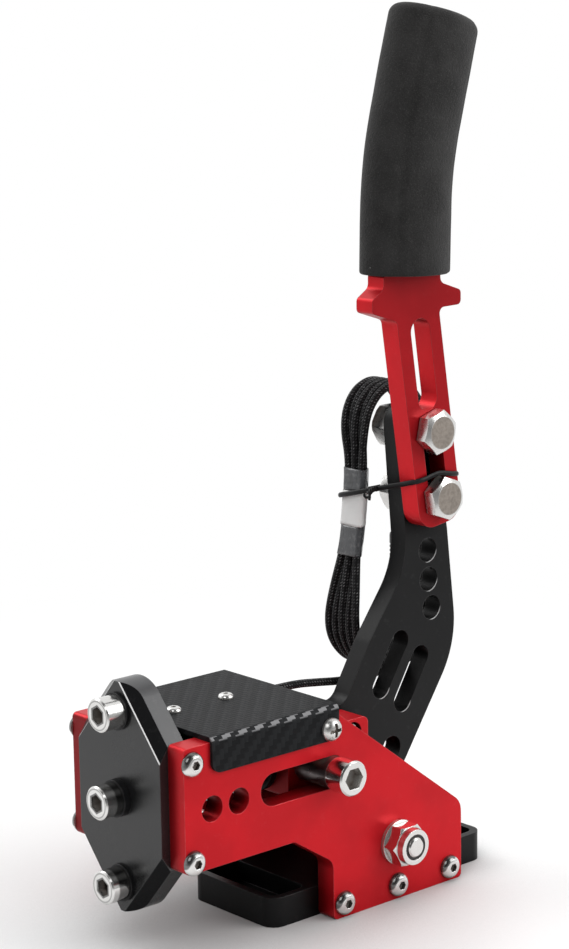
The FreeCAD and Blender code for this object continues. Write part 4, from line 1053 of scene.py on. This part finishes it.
class HANDBRAKE_OT_spring(bpy.types.Operator):
    """Wind the return spring with closed, ground ends"""

    bl_idname = "handbrake.spring"
    bl_label = "Return Spring"

    coils = 9
    wire = 0.0030
    mean = 0.0095
    closed = 1.15
    steps = 30
    travel = 0.0155
    sides = 14

    def execute(self, context):
        low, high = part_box("return_spring")
        start, end = low.x, high.x
        centre_z = (low.z + high.z) / 2
        radius = self.wire / 2
        ground = radius * 0.45
        lead = (self.wire * 1.04) * self.closed - radius
        middle_run = (end - start) - 2 * (ground + lead)
        line = []
        for i in range(int(self.coils * self.steps) + 1):
            turn = i / self.steps
            edge = min(turn, self.coils - turn)
            if edge < self.closed:
                x = ground + lead * edge / self.closed
                place = start + x if turn < self.coils / 2 else end - x
            else:
                share = (turn - self.closed) / (self.coils - 2 * self.closed)
                place = start + ground + lead + middle_run * share
            angle = 2 * math.pi * turn
            line.append(Vector((place, self.mean * math.cos(angle), centre_z + self.mean * math.sin(angle))))
        points, faces = skin(tube(line, radius, self.sides)[0])
        for point in points:
            point.x = min(max(point.x, start), end)
        steel = bright_metal("spring_wire", (0.5, 0.5, 0.51), 0.28, 0.0002)
        piece = add_mesh("spring_coil", (points, faces), steel)
        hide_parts("return_spring")
        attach(piece, "frame")
        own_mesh(piece)
        return {"FINISHED"}


def looking(*runs):
    """Makes a mask of the faces that look a way: each run has the normal's axis and a ramp's two levels."""
    def mask(tree):
        part, *others = (tree.facing(axis).ramp(low, high) for axis, low, high in runs)
        for other in others:
            part = part * other
        return part
    return mask


def near_face(y, node):
    """A mask of the skin of a node's near face."""
    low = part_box(node)[0]
    return y.ramp(low.y + 0.0003, low.y + 0.0001)


class HANDBRAKE_OT_red_plates(bpy.types.Operator):
    """Finish the side plates, handle and crosshead in red anodising"""

    bl_idname = "handbrake.red_plates"
    bl_label = "Red Plates"

    # The last value is the dye's share in the painted shade of hollows.
    look = {"roughness": 0.36, "metallic": 0.35, "wear": 0.45, "gloss_level": 0.18, "hollow_shade_tone": 0.3}

    def execute(self, context):
        metal = settings().metal
        # Painted shade darkens the side plates' front ends and the handle's broad faces and upper end;
        # painted light brightens the handle's narrow sides that face the front.
        for name, nodes, painted_light_zones in (
            ("red_anodising", ["side_plate_near", "side_plate_far", "crosshead"], ((self.painted_shade_front_ends, 0.42),)),
            ("red_handle_painted_shade", ["handle_plate"],
             ((self.painted_shade_broad_faces, 0.72), (self.painted_shade_handle_head, 0.85), (looking((0, -0.6, -0.9)), 1.3))),
        ):
            painted_light_zones = [(*zone, self.look["metallic"]) for zone in painted_light_zones]
            dress(nodes, anodised(name, metal.red, edge=metal.edge, painted_light_zones=painted_light_zones, **self.look))
        return {"FINISHED"}

    def painted_shade_front_ends(self, tree):
        """A mask of painted shade on the side plates' sawn front ends, on the far one and inwards on the near
        one.
        """
        low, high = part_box("side_plate_near")
        inward = tree.split(tree.place())[1].ramp(low.y + 0.001, high.y - 0.001)
        return inward * tree.facing(0).ramp(-0.6, -0.95)

    def painted_shade_broad_faces(self, tree):
        """A mask of painted shade on the rolled faces on both sides of the handle."""
        return abs(tree.facing(1)).ramp(0.6, 0.95)

    def painted_shade_handle_head(self, tree):
        """A mask of painted shade on the handle's upper end below the grip."""
        return tree.split(tree.place())[2].ramp(0.205, 0.235)


class HANDBRAKE_OT_black_plates(bpy.types.Operator):
    """Finish the lever, base and front plate in black and grey"""

    bl_idname = "handbrake.black_plates"
    bl_label = "Black Plates"

    # Place and radius of the ends of the lever's holes and slots
    rims = ((0.0465, 0.1301, 0.005), (0.047, 0.1178, 0.005), (0.0486, 0.1056, 0.005),
            (0.0196, 0.0772, 0.00465), (0.0316, 0.0692, 0.00465))
    # The last value sets how far painted shade darkens hollows.
    black = {"roughness": 0.42, "metallic": 0.1, "wear": 0.2, "gloss_level": 0.19, "hollow_shade_share": 0.9}
    bevels = staticmethod(looking((0, -0.97, -0.9), (0, -0.3, -0.45)))

    def execute(self, context):
        metal = settings().metal
        dress(["base_block"], anodised("black_anodising", metal.black, edge=metal.edge, **self.black))
        # The lever gets painted shade in its holes and a painted glint on their lower rims.
        dress(["lever_plate"], anodised("black_lever", metal.black, edge=metal.edge, hole_shade_share=1.0,
                                        painted_highlight=self.painted_rim_glints, **self.black))
        # Painted light and shade on the front plate: darker, fully metallic bevels for a painted dark
        # reflection, a partly metallic face, lighter upward slopes for painted light and darker downward
        # slopes for painted shade, a painted highlight along the upper slopes' bevel edge, and painted shade
        # in hollows set by the last positional value.
        sides = (0, -0.3, -0.1)
        painted_light_zones = ((self.bevels, 0.6, 1.0), (looking((0, -0.97, -0.99)), 1.0, 0.3),
                 (looking((2, 0.2, 0.5), sides), 3.2, 0.0), (looking((2, -0.2, -0.5), sides), 0.4, 0.9))
        dress(["front_plate"], anodised("front_grey", metal.front, 0.3, 0.0, metal.edge, 0.2, 0.75,
                                        painted_light_zones=painted_light_zones, painted_highlight=self.painted_slope_highlight))
        return {"FINISHED"}

    def painted_rim_glints(self, tree):
        """A mask of a painted glint on the lower rims of the lever's holes and slots, on its near face."""
        x, y, z = tree.split(tree.place())
        glint = 0.0
        for centre_x, centre_z, radius in self.rims:
            right, up = x - centre_x, z - centre_z
            ring = abs(right.reach(up) - (radius + 0.00012)).ramp(0.00026, 0.00012)
            lower = ((right * 0.6 - up * 0.8) / radius).ramp(0.6, 0.95, 0.0, 0.5)
            glint = tree.math("MAXIMUM", glint, ring * lower)
        return glint * near_face(y, "lever_plate")

    def painted_slope_highlight(self, tree):
        """A mask of a painted highlight along the bevels' edge on the front plate's upper slopes."""
        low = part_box("front_plate")[0]
        x, y, z = tree.split(tree.place())
        return x.ramp(low.x + 0.00042, low.x + 0.0003) * z.ramp(0.0775, 0.0795) * self.bevels(tree)


class HANDBRAKE_OT_cover(bpy.types.Operator):
    """Lay carbon twill over the cover and its flanges"""

    bl_idname = "handbrake.cover"
    bl_label = "Cover"

    def execute(self, context):
        metal = settings().metal
        dress(["cover"], carbon_weave("carbon_twill", metal.tow, metal.edge))
        return {"FINISHED"}


class HANDBRAKE_OT_fasteners(bpy.types.Operator):
    """Finish screws, bolts, nuts and washers"""

    bl_idname = "handbrake.fasteners"
    bl_label = "Fasteners"

    handle_bolts = ((0.0441, 0.154), (0.0401, 0.1815))
    hexagon_slant = (0.5, 0.866)

    def execute(self, context):
        metal = settings().metal
        steel = (metal.steel, 0.14)
        for name, nodes, finish, options in (
            ("bright_steel", ["pivot_bolt", "pivot_washers", "pivot_nut", "drive_pin", "cross_bolt",
                              "cross_washers", "cross_nut", "cover_top_screws"], steel, {}),
            ("button_heads", ["front_side_screws", "base_side_screws"], steel, {"groove": self.dome_tops}),
            ("cap_screws", ["front_screws", "preload_screw"], steel, {"groove": self.cap_rings}),
            ("zinc_plate", ["cover_side_screws", "handle_nuts", "pivot_spacers"],
             (metal.zinc, 0.24, 0.0004), {"turned": 0.5}),
            # The cross sleeves' dark steel is painted shade for their place in the slot.
            ("sleeves_painted_shade", ["cross_sleeves"], ((0.15, 0.135, 0.135), 0.3), {}),
            ("hex_heads", ["handle_bolts"], (metal.zinc, 0.22, 0.0004),
             {"turned": 0.3, "dull": self.head_faces}),
            ("sintered_bronze", ["pivot_bush"], (metal.bronze, 0.36), {"turned": 0.8}),
        ):
            dress(nodes, bright_metal(name, *finish, **options))
        dress(["front_screw_washers", "preload_collar", "spring_seat_front", "spring_seat_rear"],
              anodised("blackened_steel", (0.02, 0.02, 0.021), 0.38, 0.5, 0.0003))
        return {"FINISHED"}

    def dome_tops(self, tree):
        """A mask of the button heads' upper front quarter, where painted dark reflection stands for the dark
        of the room.
        """
        return (tree.facing(2) * 0.8 - tree.facing(0) * 0.6).ramp(0.28, 0.42)

    def cap_rings(self, tree):
        """A mask of painted shade in the cap heads' wide sockets and along a fine turned ring, and of painted
        dark reflection on the lower two's flanks.
        """
        low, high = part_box("front_screws")
        preload_low, preload_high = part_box("preload_screw")
        radius = (high.y - low.y) / 2
        x, y, z = tree.split(tree.place())
        across = abs(y - (low.y + high.y) / 2)
        painted_shade_marks = 0.0
        for centre in (low.z + radius, high.z - radius, (preload_low.z + preload_high.z) / 2):
            up = abs(z - centre)
            ring = abs(across.reach(up) - radius * 0.84).ramp(radius * 0.06, radius * 0.03, 0.0, 0.6)
            flats = across.max(across * self.hexagon_slant[0] + up * self.hexagon_slant[1])
            socket = flats.ramp(radius * 0.58, radius * 0.55)
            painted_shade_marks = tree.math("MAXIMUM", painted_shade_marks, ring).max(socket)
        # Painted dark reflection on the lower two heads' flanks behind their faces.
        behind = x.ramp(low.x + 0.0026, low.x + 0.0036)
        below = z.ramp(high.z - radius * 2.2, high.z - radius * 2.6)
        return (painted_shade_marks * tree.facing(0).ramp(-0.8, -0.95)).max(behind * below)

    def head_faces(self, tree):
        """A mask of the round, dull faces of the handle's two hex heads."""
        x, y, z = tree.split(tree.place())
        lower, upper = ((x - bolt_x).reach(z - bolt_z).ramp(0.00665, 0.0063)
                        for bolt_x, bolt_z in self.handle_bolts)
        return lower.max(upper) * near_face(y, "handle_bolts")


class HANDBRAKE_OT_sensor(bpy.types.Operator):
    """Finish the board, its magnet and the plastic parts round them"""

    bl_idname = "handbrake.sensor"
    bl_label = "Sensor And Plastics"

    def execute(self, context):
        metal = settings().metal
        dress(["sensor_board"], circuit_board("solder_mask"))
        for name, nodes, tint, roughness in (
            ("black_plastic", ["hall_chip", "magnet_holder", "strain_relief", "pivot_nut_insert"],
             metal.plastic, 0.5),
            ("white_nylon", ["thrust_washers", "board_standoffs"], (0.72, 0.71, 0.67), 0.45),
            ("connector_shell", ["cable_connector"], (0.78, 0.77, 0.73), 0.4),
        ):
            dress(nodes, moulded(name, tint, roughness, 0.0003))
        dress(["magnet"], bright_metal("nickel", metal.steel, 0.18, 0.0002))
        return {"FINISHED"}


class HANDBRAKE_PT_panel(bpy.types.Panel):
    """The handbrake's pieces, in the order in which they are made"""

    bl_idname = "HANDBRAKE_PT_panel"
    bl_label = "Handbrake"
    bl_space_type = "VIEW_3D"
    bl_region_type = "UI"
    bl_category = "Handbrake"

    def draw(self, context):
        for group in (settings().stage, settings().cord, settings().grip, settings().metal):
            box = self.layout.box()
            for key in group.bl_rna.properties.keys():
                if key not in ("rna_type", "name"):
                    box.prop(group, key)
        for operator in OPERATORS:
            self.layout.operator(operator.bl_idname)


GROUPS = (HandbrakeStage, HandbrakeCord, HandbrakeGrip, HandbrakeMetal, HandbrakeSettings)
OPERATORS = (HANDBRAKE_OT_stage, HANDBRAKE_OT_cord_bands, HANDBRAKE_OT_cord_tie, HANDBRAKE_OT_plug,
             HANDBRAKE_OT_cord, HANDBRAKE_OT_grip, HANDBRAKE_OT_spring, HANDBRAKE_OT_red_plates,
             HANDBRAKE_OT_black_plates, HANDBRAKE_OT_cover, HANDBRAKE_OT_fasteners, HANDBRAKE_OT_sensor)


def register():
    for cls in (*GROUPS, *OPERATORS, HANDBRAKE_PT_panel):
        bpy.utils.register_class(cls)
    bpy.types.Scene.handbrake = PointerProperty(type=HandbrakeSettings)


def unregister():
    del bpy.types.Scene.handbrake
    for cls in reversed((*GROUPS, *OPERATORS, HANDBRAKE_PT_panel)):
        bpy.utils.unregister_class(cls)


def main():
    register()
    for operator in OPERATORS:
        group, name = operator.bl_idname.split(".")
        getattr(getattr(bpy.ops, group), name)()


if __name__ == "__main__":
    main()
